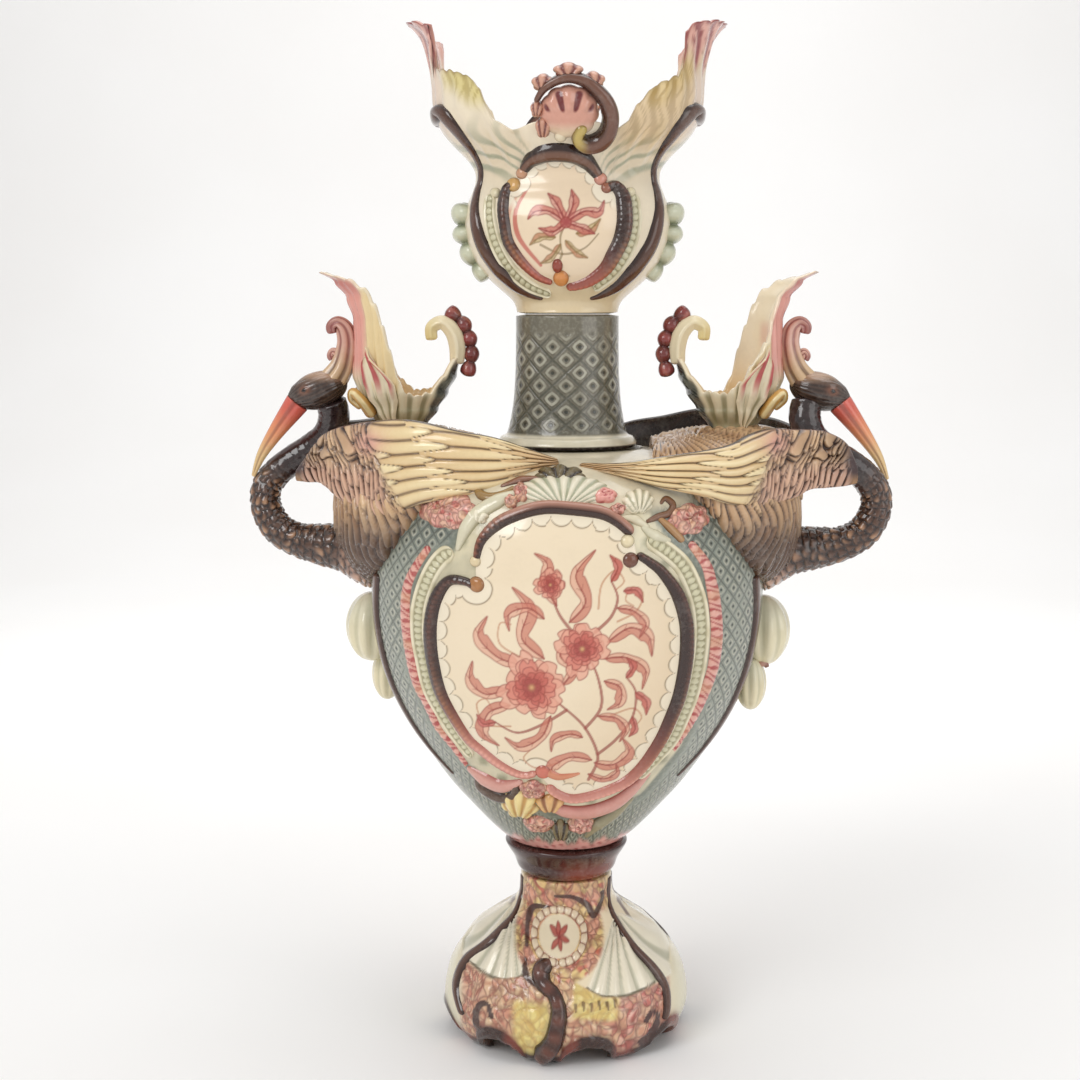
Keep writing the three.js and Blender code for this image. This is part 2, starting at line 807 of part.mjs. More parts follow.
// Sections of a wing, from its leading edge to its tip: out, back, lowest, highest, thickness
const frontWingSections = [
  [outward(51), -24, 11, 20, 4],
  [outward(44), -26, 9.5, 34, 7],
  [outward(33), -28, 8.5, 40.5, 9],
  [outward(23), -32, 8, 42.5, 10],
  [outward(13), -38, 4, 43, 11],
  [outward(-2), -48, 1, 44, 12],
  [outward(-14), -58, 1, 41.5, 12],
  [outward(-26), -65, 3, 36, 11],
  [outward(-42), -71, 8, 33, 10],
  [outward(-64), -75, 13, 30, 8.5],
  [outward(-86), -73, 19, 26.5, 6],
  [outward(-108), -66, 23, 26, 4],
];
const backWingSections = [
  [outward(41), 22, 11, 17, 4],
  [outward(33), 25, 10.5, 27, 7],
  [outward(24), 29, 10, 37.5, 9],
  [outward(14), 36, 3, 43, 11],
  [outward(2), 44, -3, 46, 12],
  [outward(-10), 52, -9, 48, 13],
  [outward(-24), 61, -3, 49.5, 13],
  [outward(-38), 68, 3, 48.5, 12],
  [outward(-58), 73, 7, 44, 11],
  [outward(-78), 74, 11, 40.5, 9],
  [outward(-98), 70, 18, 33.5, 7],
  [outward(-112.5), 64, 23, 28, 4],
];
function wing(sections, grow = 0) {
  return solidOfRings(
    sections.map(([out, back, low, high, thick], n) => {
      const before = sections[Math.max(n - 1, 0)];
      const after = sections[Math.min(n + 1, sections.length - 1)];
      const along = new THREE.Vector2(after[0] - before[0], after[1] - before[1]).normalize();
      return Array.from({ length: 8 }, (_, i) => {
        const angle = (i / 8) * 2 * Math.PI;
        const side = (thick / 2 + grow) * Math.cos(angle);
        const up = (low + high) / 2 + ((high - low) / 2 + grow) * Math.sin(angle);
        return birdAt([out - along.y * side, back + along.x * side, up]);
      });
    }),
  );
}
const wingNeighbours = [bodyCutter, neckCutter, torsoGrown, birdNeckGrown];
const frontWing = fitted(wing(frontWingSections), ...wingNeighbours);
const backWing = fitted(wing(backWingSections), ...wingNeighbours);

// The garland is cut round the wing tips that meet over it
const wingsGrown = [wing(frontWingSections, seam), halfTurned(wing(backWingSections, seam))];
placeTwice("panel_garland", fitted(garland, bodyCutter, archGrown, ...wingsGrown), pink);

// The spill cup on the bird's back. Degrees run from the outward side towards the back.
const cupBase = shoulder + 42;
const cupTenon = 6; // how far the cup is let into the bird's back
const cupRim = [
  [-180, 42],
  [-165, 40],
  [-152, 30],
  [-138, 22],
  [-105, 21],
  [-78, 28],
  [-66, 38],
  [-45, 50],
  [-38, 56],
  [-34, 70],
  [-28, 81],
  [-18, 88],
  [-8, 91],
  [10, 90],
  [30, 87],
  [48, 82],
  [58, 72],
  [66, 56],
  [80, 45],
  [96, 33],
  [112, 24],
  [138, 22],
  [152, 30],
  [165, 40],
  [180, 42],
];
// Distance from the cup's axis at each height: outward side, inward side, and front or back
const cupOut = [
  [0, cupBaseRadius],
  [8, 18],
  [18, 25],
  [30, 29],
  [45, 28],
  [62, 28],
  [75, 32],
  [84, 39],
  [91, 50],
];
const cupIn = [
  [0, cupBaseRadius],
  [10, 21],
  [20, 27],
  [30, 32],
  [44, 35],
];
const cupSide = [
  [0, cupBaseRadius],
  [10, 18],
  [22, 22],
  [45, 25],
  [91, 26],
];
function cupSkin(angle, height, offset) {
  const facing = Math.cos(angle);
  const end = readAlong(facing > 0 ? cupOut : cupIn, height);
  const radius = end * facing * facing + readAlong(cupSide, height) * (1 - facing * facing) + offset;
  return new THREE.Vector3(cupStand + radius * facing, radius * Math.sin(angle), cupBase + height);
}
function cupRings(offset, lift) {
  const around = 20;
  const along = 5;
  return Array.from({ length: along + 1 }, (_, j) =>
    Array.from({ length: around }, (_, i) => {
      const turn = -180 + (i / around) * 360;
      return cupSkin(turn * degrees, THREE.MathUtils.lerp(lift, readAlong(cupRim, turn), j / along), offset);
    }),
  );
}
const cupFloor = 8;
const cupNeighbours = [torsoGrown, headGrown, birdNeckGrown];
const cup = fitted(vessel(cupRings(0, -cupTenon), cupRings(-cupWall, cupFloor)), ...cupNeighbours);
const cupSpare = seam * 2; // the cup's flare is measured level, so its seam is doubled
const cupGrown = vessel(
  cupRings(cupSpare, -cupTenon - cupSpare),
  cupRings(-cupWall - cupSpare, cupFloor + cupSpare),
  cupSpare,
);

// The inward lip of the cup rolls over into a volute, edged outside with a string of beads
const volutePath = [
  [-32, 36],
  [-32.5, 46],
  [-30, 55],
  [-24, 60.5],
  [-17.5, 57.5],
  [-17.5, 50],
].map(([out, up]) => new THREE.Vector3(cupStand + out, 0, cupBase + up));
const voluteOptions = { steps: 9, sides: 6, squeeze: 1.9 };
const voluteRadii = [3, 3.2, 3.2, 3.4, 4];
const volute = fitted(
  roll(volutePath, voluteRadii, voluteOptions),
  cupGrown,
);
const beadPath = [
  [-37.5, 29],
  [-40.5, 40],
  [-39.5, 51],
  [-35, 61],
  [-26, 68],
].map(([out, up]) => new THREE.Vector3(cupStand + out, 0, cupBase + up));
const beadRadii = Array.from({ length: beadCount * 2 + 1 }, (_, i) =>
  i % 2 ? beadRadius : beadRadius * 0.45,
);
const beads = fitted(
  roll(beadPath, beadRadii, { steps: beadCount * 4, sides: 5 }),
  cupGrown,
  roll(volutePath, voluteRadii.map((r) => r + seam), voluteOptions),
);

// The plume behind the bird's head
const plumePath = [
  [outward(22), -1, 69],
  [outward(16), -1, 80],
  [outward(14), -1, 92],
  [outward(16), -1, 103],
  [outward(22), -1, 108],
].map(birdAt);
const plumeRoll = roll(plumePath, [6, 6, 6.5, 6, 4.5], { steps: 6, sides: 6, squeeze: 0.8 });
const plume = fitted(plumeRoll, headGrown, cupGrown);

// Both birds with their cups
for (const [piece, solid, material] of [
  ["torso", torso, feather],
  ["neck", birdNeck, brown],
  ["head", head, brown],
  ["beak", beak, beakGlaze],
  ["plume", plume, pink],
  ["front_wing", frontWing, paleFeather],
  ["back_wing", backWing, paleFeather],
  ["cup", cup, cream],
  ["cup_volute", volute, cream],
  ["cup_beads", beads, beadRed],
]) {
  place(`right_bird_${piece}`, solid, material);
  const turnedName = piece.replace("front_", "rear_").replace("back_", "front_").replace("rear_", "back_");
  place(`left_bird_${turnedName}`, solid, material, true);
}

export default vase;
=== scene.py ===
import math

import bpy
import numpy as np
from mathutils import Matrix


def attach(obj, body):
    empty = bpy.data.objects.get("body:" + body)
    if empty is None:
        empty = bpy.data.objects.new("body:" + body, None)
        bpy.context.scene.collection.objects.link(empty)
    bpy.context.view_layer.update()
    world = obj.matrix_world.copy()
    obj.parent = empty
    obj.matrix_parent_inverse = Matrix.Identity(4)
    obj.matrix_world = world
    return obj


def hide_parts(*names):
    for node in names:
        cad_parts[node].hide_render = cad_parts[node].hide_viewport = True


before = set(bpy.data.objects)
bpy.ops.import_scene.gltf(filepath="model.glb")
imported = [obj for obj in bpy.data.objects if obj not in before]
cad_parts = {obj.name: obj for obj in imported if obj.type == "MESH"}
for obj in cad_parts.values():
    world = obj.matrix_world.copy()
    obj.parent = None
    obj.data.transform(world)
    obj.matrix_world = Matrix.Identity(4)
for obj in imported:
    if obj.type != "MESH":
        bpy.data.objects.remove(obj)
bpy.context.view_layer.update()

# The studio. The vase stands on a sweep of white paper under broad soft lamps. The camera stands a metre off,
# level with the top of the neck and a little to the right, and looks a little down.


class Wire:
    """A shader socket that can stand in a Python sum."""

    def __init__(self, glaze, socket):
        self.glaze = glaze
        self.socket = socket

    def math(self, operation, *values):
        return self.glaze.node("ShaderNodeMath", {"operation": operation}, dict(enumerate(values)))

    def __add__(self, other):
        return self.math("ADD", self, other)

    def __sub__(self, other):
        return self.math("SUBTRACT", self, other)

    def __rsub__(self, other):
        return self.math("SUBTRACT", other, self)

    def __mul__(self, other):
        return self.math("MULTIPLY", self, other)

    def high(self, other):
        """The larger of the two."""
        return self.math("MAXIMUM", self, other)

    def rises(self, low, high):
        """0 under low, 1 over high, and smooth between them."""
        inputs = {"Value": self, "From Min": low, "From Max": high}
        return self.glaze.node("ShaderNodeMapRange", {"interpolation_type": "SMOOTHSTEP"}, inputs)

    def output(self, name):
        """Another output of the same node."""
        return Wire(self.glaze, self.socket.node.outputs[name])

    __radd__ = __add__
    __rmul__ = __mul__


class Glaze:
    """A node tree, written as sums of its sockets."""

    def __init__(self, tree):
        self.tree = tree
        tree.nodes.clear()

    def node(self, kind, settings=None, inputs=None, output=0):
        made = self.tree.nodes.new(kind)
        for key, value in (settings or {}).items():
            setattr(made, key, value)
        for key, value in (inputs or {}).items():
            if isinstance(value, Wire):
                self.tree.links.new(value.socket, made.inputs[key])
            else:
                made.inputs[key].default_value = value
        return Wire(self, made.outputs[output]) if made.outputs else None

    def blend(self, share, low, high):
        """One colour into another. Sockets 6 and 7 of a colour mix are its two colours."""
        return self.node("ShaderNodeMix", {"data_type": "RGBA"}, {0: share, 6: low, 7: high}, 2)

    def noise(self, place, scale, detail):
        return self.node("ShaderNodeTexNoise", None, {"Vector": place, "Scale": scale, "Detail": detail})


def material_of(name, shader):
    """A material whose surface is what shader returns."""
    material = bpy.data.materials.new(name)
    material.use_nodes = True
    glaze = Glaze(material.node_tree)
    glaze.node("ShaderNodeOutputMaterial", None, {"Surface": shader(glaze)})
    return material


bpy.ops.object.select_all(action="DESELECT")
bpy.ops.mesh.primitive_grid_add(x_subdivisions=8, y_subdivisions=60, size=2)
sweep = bpy.context.object
sweep.name = "paper_sweep"
# the paper is 10 m wide and 9 m long: floor, then a quarter turn, then wall up to its end
paper_length, floor_length, bend_radius, near_edge = 9, 5, 1.2, -3.4
for vertex in sweep.data.vertices:
    run = (vertex.co.y + 1) * paper_length / 2
    turn = min(max(run - floor_length, 0) / bend_radius, math.pi / 2)
    wall = max(run - floor_length - bend_radius * math.pi / 2, 0)
    vertex.co = (
        vertex.co.x * 5,
        min(run, floor_length) + near_edge + bend_radius * math.sin(turn),
        bend_radius * (1 - math.cos(turn)) + wall,
    )
bpy.ops.object.shade_smooth()


def paper(glaze):
    place = glaze.node("ShaderNodeTexCoord").output("Object")
    pulp = glaze.noise(place, 2.2, 2)
    colour = glaze.blend(pulp.rises(0.3, 0.7), (0.96, 0.95, 0.94, 1), (0.98, 0.975, 0.97, 1))
    return glaze.node("ShaderNodeBsdfDiffuse", None, {"Color": colour})


sweep.data.materials.append(material_of("sweep_paper", paper))

for name, place, aim, size, power in [
    ("key_lamp", (-1.2, -1.5, 1.5), (0, 0, 0.3), 1.0, 16.5),
    ("fill_lamp", (1.6, -1.3, 0.9), (0, 0, 0.3), 1.4, 8.5),
    ("top_lamp", (0.1, 0.2, 1.9), (0, 0, 0.2), 1.5, 11),
    ("wall_lamp", (0, 1.0, 1.6), (0, 2.6, 0.7), 2.0, 14),
]:
    bpy.ops.object.light_add(type="AREA", location=place)
    lamp = bpy.context.object
    lamp.name = name
    lamp.data.size = size
    lamp.data.energy = power
    away = np.array(place) - np.array(aim)
    lamp.rotation_euler = (
        math.atan2(math.hypot(away[0], away[1]), away[2]),
        0,
        math.atan2(away[1], away[0]) + math.pi / 2,
    )

world = bpy.data.worlds.new("soft_room")
bpy.context.scene.world = world
world.use_nodes = True
room = Glaze(world.node_tree)
ray = room.node("ShaderNodeLightPath")
bright = ray.high(ray.output("Is Glossy Ray") * 0.5).high(ray.output("Is Transmission Ray"))
air = {"Color": (1, 0.995, 0.985, 1), "Strength": bright * 0.3 + 0.5}
room.node("ShaderNodeOutputWorld", None, {"Surface": room.node("ShaderNodeBackground", None, air)})

bpy.ops.object.camera_add(
    location=(0.01905, -1.00395, 0.4325),
    rotation=(math.radians(90 - 7.54), 0, math.radians(2)),
)
camera = bpy.context.object
camera.data.lens = 56.67
camera.data.sensor_width = 36
camera.data.clip_start = 0.01
bpy.context.scene.camera = camera
bpy.context.scene.view_settings.view_transform = "Standard"

# The foot, a hollow cast base in pale glaze on eight scrolled pads with low arches between them. The arches
# are cut from the wet clay. Fans, leafwork and medallion are pressed in the mould and painted.


def spline(points, shares):
    """A smooth curve through points, read at shares of the way along them."""
    points = np.asarray(points, float)
    last = len(points) - 1
    place = np.clip(shares, 0, 1) * last
    i = np.minimum(place.astype(int), last - 1)
    w = (place - i)[:, None]
    a, b = points[np.maximum(i - 1, 0)], points[i]
    c, d = points[i + 1], points[np.minimum(i + 2, last)]
    leave, arrive = (c - a) / 2, (d - b) / 2
    cubic = (2 * b - 2 * c + leave + arrive) * w**3
    return cubic + (3 * c - 3 * b - 2 * leave - arrive) * w**2 + leave * w + b


def rises(low, high, value):
    """0 at low, 1 at high, and smooth between them."""
    share = np.clip((value - low) / (high - low), 0, 1)
    return share * share * (3 - 2 * share)


def between(low, from_here, to_here, high, value):
    """0 outside low to high, 1 inside from_here to to_here."""
    return rises(low, from_here, value) * (1 - rises(to_here, high, value))


def hump(off, width):
    """1 at nought, falling off smoothly to each side."""
    return np.exp(-((off / width) ** 2))


def domed_over(share):
    """The height of a round section, 1 in its middle and 0 at its edge."""
    return np.sqrt(np.clip(1 - share**2, 0, 1))


def from_ends(v, cap):
    """0 at both ends of a sheet, and 1 between their caps."""
    return np.clip(np.minimum(v, 1 - v) / cap, 0, 1)


def there_and_back(v, turn):
    """Whether a place lies before the turn, and a share that rises to 1 there and falls back to 0."""
    before = v < turn
    return before, np.where(before, v / turn, (1 - v) / (1 - turn))


def mix(low, high, share):
    """One colour into another, by a share for each vertex."""
    return low + (np.asarray(high) - low) * np.asarray(share, float)[..., None]


def tint(*rgb):
    """A colour as it looks, 0 to 255, as the light value that a shader takes."""
    share = np.array(rgb) / 255
    return np.where(share <= 0.04045, share / 12.92, ((share + 0.055) / 1.055) ** 2.4)


def ahead_of(points, shares, step=0.006):
    """The direction of a curve at shares of the way along it."""
    shares = np.asarray(shares, float)
    way = spline(points, np.minimum(shares + step, 1)) - spline(points, np.maximum(shares - step, 0))
    return way / np.linalg.norm(way, axis=1, keepdims=True)


def run_of(points, shares=1.0):
    """The length along a curve, at shares of the way along it."""
    steps = np.linspace(0, 1, 400)
    runs = np.cumsum(np.linalg.norm(np.diff(spline(points, steps), axis=0), axis=1))
    return np.interp(shares, steps, np.concatenate([[0], runs]))


class Form:
    """A turned or oval casting, in millimetres. Angles run from the front towards the right handle."""

    def __init__(self, outline, half_width, height, base, depth_share=1.0):
        self.shares = np.linspace(0, 1, 3001)
        self.radii, self.levels = spline(np.array(outline) * [half_width, height], self.shares).T
        self.half_width, self.height, self.base, self.depth_share = half_width, height, base, depth_share
        self.mm = np.array([half_width, height])

    def along(self, up):
        """The place on the outline that stands at a share of the height."""
        return np.interp(np.asarray(up) * self.height, self.levels, self.shares)

    def at(self, angle, t):
        radius, level = np.interp(t, self.shares, self.radii), np.interp(t, self.shares, self.levels)
        belly = np.sqrt(np.sin(np.pi * np.clip(level / self.height, 0, 1)))
        deep = radius * (1 - (1 - self.depth_share) * belly)
        return np.stack([radius * np.sin(angle), -deep * np.cos(angle), self.base + level], -1)

    def skin(self, angle, t, out=0.0):
        """A point of the skin, moved out along its normal."""
        angle, t = np.broadcast_arrays(np.asarray(angle, float), np.asarray(t, float))
        up = self.at(angle, np.minimum(t + 0.002, 1)) - self.at(angle, np.maximum(t - 0.002, 0))
        normal = np.cross(self.at(angle + 0.002, t) - self.at(angle - 0.002, t), up)
        normal = normal / np.maximum(np.linalg.norm(normal, axis=-1, keepdims=True), 1e-9)
        return self.at(angle, t) + normal * np.broadcast_to(out, t.shape)[..., None]

    def drawn(self, across, up, out=0.0):
        """A point drawn on the front elevation, in shares of the half width and the height."""
        t = self.along(up)
        sine = np.clip(np.asarray(across) * self.half_width / np.interp(t, self.shares, self.radii), -1, 1)
        return self.skin(np.arcsin(sine), t, out)


def wrapped(name, columns, rows, place):
    """A sheet of clay drawn over a shape: place gives each vertex its point in mm and its painted colour."""
    bpy.ops.object.select_all(action="DESELECT")
    bpy.ops.mesh.primitive_grid_add(x_subdivisions=columns, y_subdivisions=rows, size=1)
    piece = bpy.context.object
    piece.name = name
    mesh = piece.data
    flat = np.empty(len(mesh.vertices) * 3)
    mesh.vertices.foreach_get("co", flat)
    u, v = flat.reshape(-1, 3)[:, 0] + 0.5, flat.reshape(-1, 3)[:, 1] + 0.5
    points, colours = place(u, v)
    mesh.vertices.foreach_set("co", (points * 0.001).ravel())
    colours = np.broadcast_to(colours, (len(u), np.shape(colours)[-1]))
    if colours.shape[1] == 3:
        colours = np.concatenate([colours, np.ones((len(u), 1))], 1)
    painted = mesh.color_attributes.new("paint", "FLOAT_COLOR", "POINT")
    painted.data.foreach_set("color", colours.astype(np.float32).ravel())
    bpy.ops.object.mode_set(mode="EDIT")
    bpy.ops.mesh.select_all(action="SELECT")
    bpy.ops.mesh.remove_doubles(threshold=2e-6)
    bpy.ops.mesh.normals_make_consistent(inside=False)
    bpy.ops.object.mode_set(mode="OBJECT")
    bpy.ops.object.shade_smooth()
    return piece


def rolled(name, points, radii, rows, sides=16, squeeze=1.0, across=(0, 1, 0), cap=0.05, paint=None):
    """A roll of clay along a line. paint gives the swell in mm and the colour, round and along it."""
    points = np.asarray(points, float)

    def place(u, v):
        ahead = ahead_of(points, v)
        wide = np.array(across, float) - ahead * (ahead @ np.array(across, float))[:, None]
        wide /= np.linalg.norm(wide, axis=1, keepdims=True)
        tall = np.cross(ahead, wide)
        swell, colour = paint(u, v, run_of(points, v))
        radius = spline(np.array(radii, float)[:, None], v)[:, 0] + swell
        radius = radius * domed_over(1 - from_ends(v, cap))
        turn = u * 2 * np.pi
        ring = wide * (radius * squeeze * np.cos(turn))[:, None] + tall * (radius * np.sin(turn))[:, None]
        return spline(points, v) + ring, colour

    return wrapped(name, sides, rows, place)


def banded(name, form, path, width, relief, fine=0.9):
    """A band of relief laid on a casting along a drawn line, its underside let into the casting."""
    path = np.asarray(path, float) * form.mm
    length = run_of(path)

    def place(u, v):
        ahead, along = ahead_of(path, v, 0.01), run_of(path, v)
        half = np.interp(along / length, np.linspace(0, 1, len(width)), width)
        end = np.minimum(along, length - along) / half
        half = half * domed_over(1 - np.minimum(end, 1))
        above, side = there_and_back(u, 0.6)
        side = side * 2 - 1
        spot = spline(path, v) + np.stack([ahead[:, 1], -ahead[:, 0]], 1) * (side * half)[:, None]
        out, colour = relief(side, along, along / length, half)
        edge = np.abs(side) ** 6
        out = np.where(above, out * (1 - edge) - 0.5 * edge, -1.3)
        return form.drawn(spot[:, 0] / form.half_width, spot[:, 1] / form.height, out), colour

    return wrapped(name, max(int(max(width) * 4 / fine), 12), int(length / fine), place)


def domed(name, form, centre, radii, relief, lobes=None, under=1.3, fine=0.8):
    """A boss of relief round a drawn point of a casting, its underside let into the casting."""

    def place(u, v):
        turn = u * 2 * np.pi
        above, share = there_and_back(v, 0.7)
        reach = share * (lobes(turn) if lobes else 1)
        x, z = reach * np.sin(turn), reach * np.cos(turn)
        out, colour = relief(x, z, share, turn)
        out = np.where(above, (out + under) * np.sqrt(np.clip(1 - share**5, 0, 1)) - under, -under)
        across = centre[0] + x * radii[0] / form.half_width
        return form.drawn(across, centre[1] + z * radii[1] / form.height, out), colour

    return wrapped(name, int(6 * max(radii) / fine), int(1.6 * max(radii) / fine), place)


def turn_round(piece):
    """Turns the piece half round the vase's axis."""
    flat = np.empty(len(piece.data.vertices) * 3)
    piece.data.vertices.foreach_get("co", flat)
    piece.data.vertices.foreach_set("co", (flat.reshape(-1, 3) * [-1, -1, 1]).ravel())
    piece.data.update()


def turned(piece, name):
    """The piece's twin on the other side, half a turn round the vase's axis."""
    twin = piece.copy()
    twin.data = piece.data.copy()
    twin.name = name
    bpy.context.scene.collection.objects.link(twin)
    turn_round(twin)
    return twin


def under_gloss(glaze, colour, roughness, height, grain, depth=0.0006):
    """Painted clay under a clear lead glaze, its grain pressed in by height."""
    bump = glaze.node("ShaderNodeBump", None, {"Strength": grain, "Distance": depth, "Height": height})
    clay = {"Base Color": colour, "Roughness": roughness, "Normal": bump}
    return glaze.node("ShaderNodeBsdfPrincipled", None, {**clay, "Coat Weight": 0.4, "Coat Roughness": 0.06})


def fired(name, shine=0.14, mottle=0.08, grain=0.2, florets=0):
    """A lead glaze over painted colour, uneven in tone and thickness, with a fine grain under the gloss.
    Where the paint's alpha says so, it is parted into small curled florets, about so many to the metre."""

    def shader(glaze):
        place = glaze.node("ShaderNodeTexCoord").output("Object")
        painted = glaze.node("ShaderNodeAttribute", {"attribute_name": "paint"})
        broad = glaze.noise(place, 60, 4)
        fine = glaze.noise(place, 450, 3)
        tone = (broad - 0.5) * (3 * mottle) + (fine - 0.5) * (2 * mottle)
        colour = glaze.blend((tone * -1).high(0), painted, (0.07, 0.04, 0.03, 1))
        colour = glaze.blend(tone.high(0), colour, (1, 0.96, 0.88, 1))
        height = broad * 0.7 + fine * 0.3
        if florets:
            swirl = glaze.noise(place, florets * 0.4, 1).output("Color")
            bend = {0: swirl, 1: (3 / florets,) * 3, 2: place}
            bent = glaze.node("ShaderNodeVectorMath", {"operation": "MULTIPLY_ADD"}, bend)
            bent = glaze.node("ShaderNodeVectorMath", {"operation": "MULTIPLY"}, {0: bent, 1: (1, 1, 0.6)})
            cell = {"Vector": bent, "Scale": florets}
            floret = glaze.node("ShaderNodeTexVoronoi", {"feature": "DISTANCE_TO_EDGE"}, cell)
            tuft = glaze.node("ShaderNodeTexVoronoi", None, cell).output("Color")
            tuft = glaze.node("ShaderNodeSeparateColor", None, {0: tuft})
            mask = painted.output("Alpha")
            tan, red = tuft.rises(0.5, 0.9), tuft.output("Green").rises(0.6, 0.95)
            colour = glaze.blend(mask * tan * 0.45, colour, (0.82, 0.6, 0.34, 1))
            colour = glaze.blend(mask * red * 0.4, colour, (0.45, 0.12, 0.09, 1))
            gap = 1 - floret.rises(-0.04, 0.26)
            colour = glaze.blend(mask * gap * 0.62, colour, (0.16, 0.05, 0.035, 1))
            height = height + mask * floret.rises(0, 0.3) * 2
        return under_gloss(glaze, colour, fine * 0.12 + shine, height, grain)

    return material_of(name, shader)


def set_down(piece, material, slot, *nodes):
    """Glazes a piece, and seats it on the vase in place of its solids."""
    piece.data.materials.clear()
    piece.data.materials.append(material)
    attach(piece, "root")
    if nodes:
        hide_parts(*nodes)


def in_pair(piece, twin_name, material, slot, *nodes):
    """Seats a piece and its twin across the axis, the first in place of one node and the twin of the next."""
    twin = turned(piece, twin_name)
    set_down(piece, material, slot, *nodes[:1])
    set_down(twin, material, slot, *nodes[1:])


def on_both_faces(piece, material, slot, node=None):
    """Seats a relief on the front, and its twin on the back."""
    nodes = (node + "_front", node + "_back") if node else ()
    in_pair(piece, piece.name.replace("_front", "_back"), material, slot, *nodes)


def off_line(x, z, line, closed=False):
    """Distance in mm to a drawn line, less than zero inside a closed one, and the length along it."""
    tiny = 1e-9
    ends = np.roll(line, -1, 0) if closed else line[1:]
    starts = line if closed else line[:-1]
    best, along, run, inside = np.full(len(x), 1e9), np.zeros(len(x)), 0.0, np.zeros(len(x), bool)
    for (ax, az), (bx, bz) in zip(starts, ends):
        dx, dz = bx - ax, bz - az
        size = math.hypot(dx, dz) + tiny
        share = np.clip(((x - ax) * dx + (z - az) * dz) / size**2, 0, 1)
        off = np.hypot(x - ax - dx * share, z - az - dz * share)
        along = np.where(off < best, run + share * size, along)
        best = np.minimum(best, off)
        if closed:
            inside ^= ((az > z) != (bz > z)) & (x < dx * (z - az) / (dz or tiny) + ax)
        run += size
    return np.where(inside, -best, best), along


class Brush:
    """Paints strokes and washes on a sheet's vertices, drawn on the front elevation in mm."""

    def __init__(self, x, z, colour):
        self.x, self.z, self.colour = x, z, np.array(np.broadcast_to(colour, (len(x), 3)))

    def lay(self, near, pigment, cover):
        self.colour[near] = mix(self.colour[near], pigment, cover)

    def wash(self, pigment, cover):
        self.lay(slice(None), pigment, cover)

    def close_to(self, points, reach):
        low, high = points.min(0) - reach, points.max(0) + reach
        return (self.x > low[0]) & (self.x < high[0]) & (self.z > low[1]) & (self.z < high[1])

    def line(self, points, width, pigment, strength=0.8, soft=0.45):
        """A stroke that starts and ends as fine as width says."""
        shares = np.linspace(0, 1, 8 * len(points))
        path = spline(points, shares)
        near = self.close_to(path, 4)
        if not near.any():
            return
        off, along = off_line(self.x[near], self.z[near], path)
        wide = np.interp(along / run_of(path), np.linspace(0, 1, len(width)), width)
        self.lay(near, pigment, strength * (1 - rises(-0.1, soft, off - wide)))

    def area(self, points, pigment, strength=0.8, soft=0.5, edge=None):
        """A wash inside a closed line, with a darker rim where edge is a colour."""
        path = spline(np.concatenate([points, points[:1]]), np.linspace(0, 1, 8 * len(points)))[:-1]
        near = self.close_to(path, 3)
        if not near.any():
            return
        off, _ = off_line(self.x[near], self.z[near], path, closed=True)
        self.lay(near, pigment, strength * (1 - rises(-soft, soft, off)))
        if edge is not None:
            self.lay(near, edge, 0.75 * hump(off, 0.42))


foot = Form(
    [(0.76, 0), (0.92, 0.06), (1, 0.18), (0.993, 0.31), (0.93, 0.45), (0.77, 0.61), (0.65, 0.68),
     (0.49, 0.765), (0.39, 0.85), (0.37, 1)],
    half_width=74, height=98, base=0, depth_share=0.93,
)
foot_wall = 7
foot_rib_right = [(0.36, 0.97), (0.35, 0.85), (0.38, 0.78), (0.46, 0.7), (0.56, 0.62), (0.71, 0.5),
                  (0.8, 0.39), (0.82, 0.28), (0.8, 0.2)]
foot_rib_left = [(-0.36, 0.97), (-0.37, 0.85), (-0.42, 0.76), (-0.52, 0.69), (-0.66, 0.6), (-0.8, 0.5),
                 (-0.87, 0.4), (-0.88, 0.31), (-0.82, 0.2)]


def leafwork(x, z, pitch):
    """Interlaced small leaves: their height, the dark lines between them, and each one's tone."""
    field = np.sin(x / pitch + 1.6 * np.sin(z / pitch / 1.7))
    field = field + np.sin(1.1 * z / pitch + 1.4 * np.sin(x / pitch / 1.3 + 1))
    return np.abs(field) / 2, hump(field, 0.24), rises(-0.6, 0.6, np.sin(field * 2.2 + x / pitch / 2))


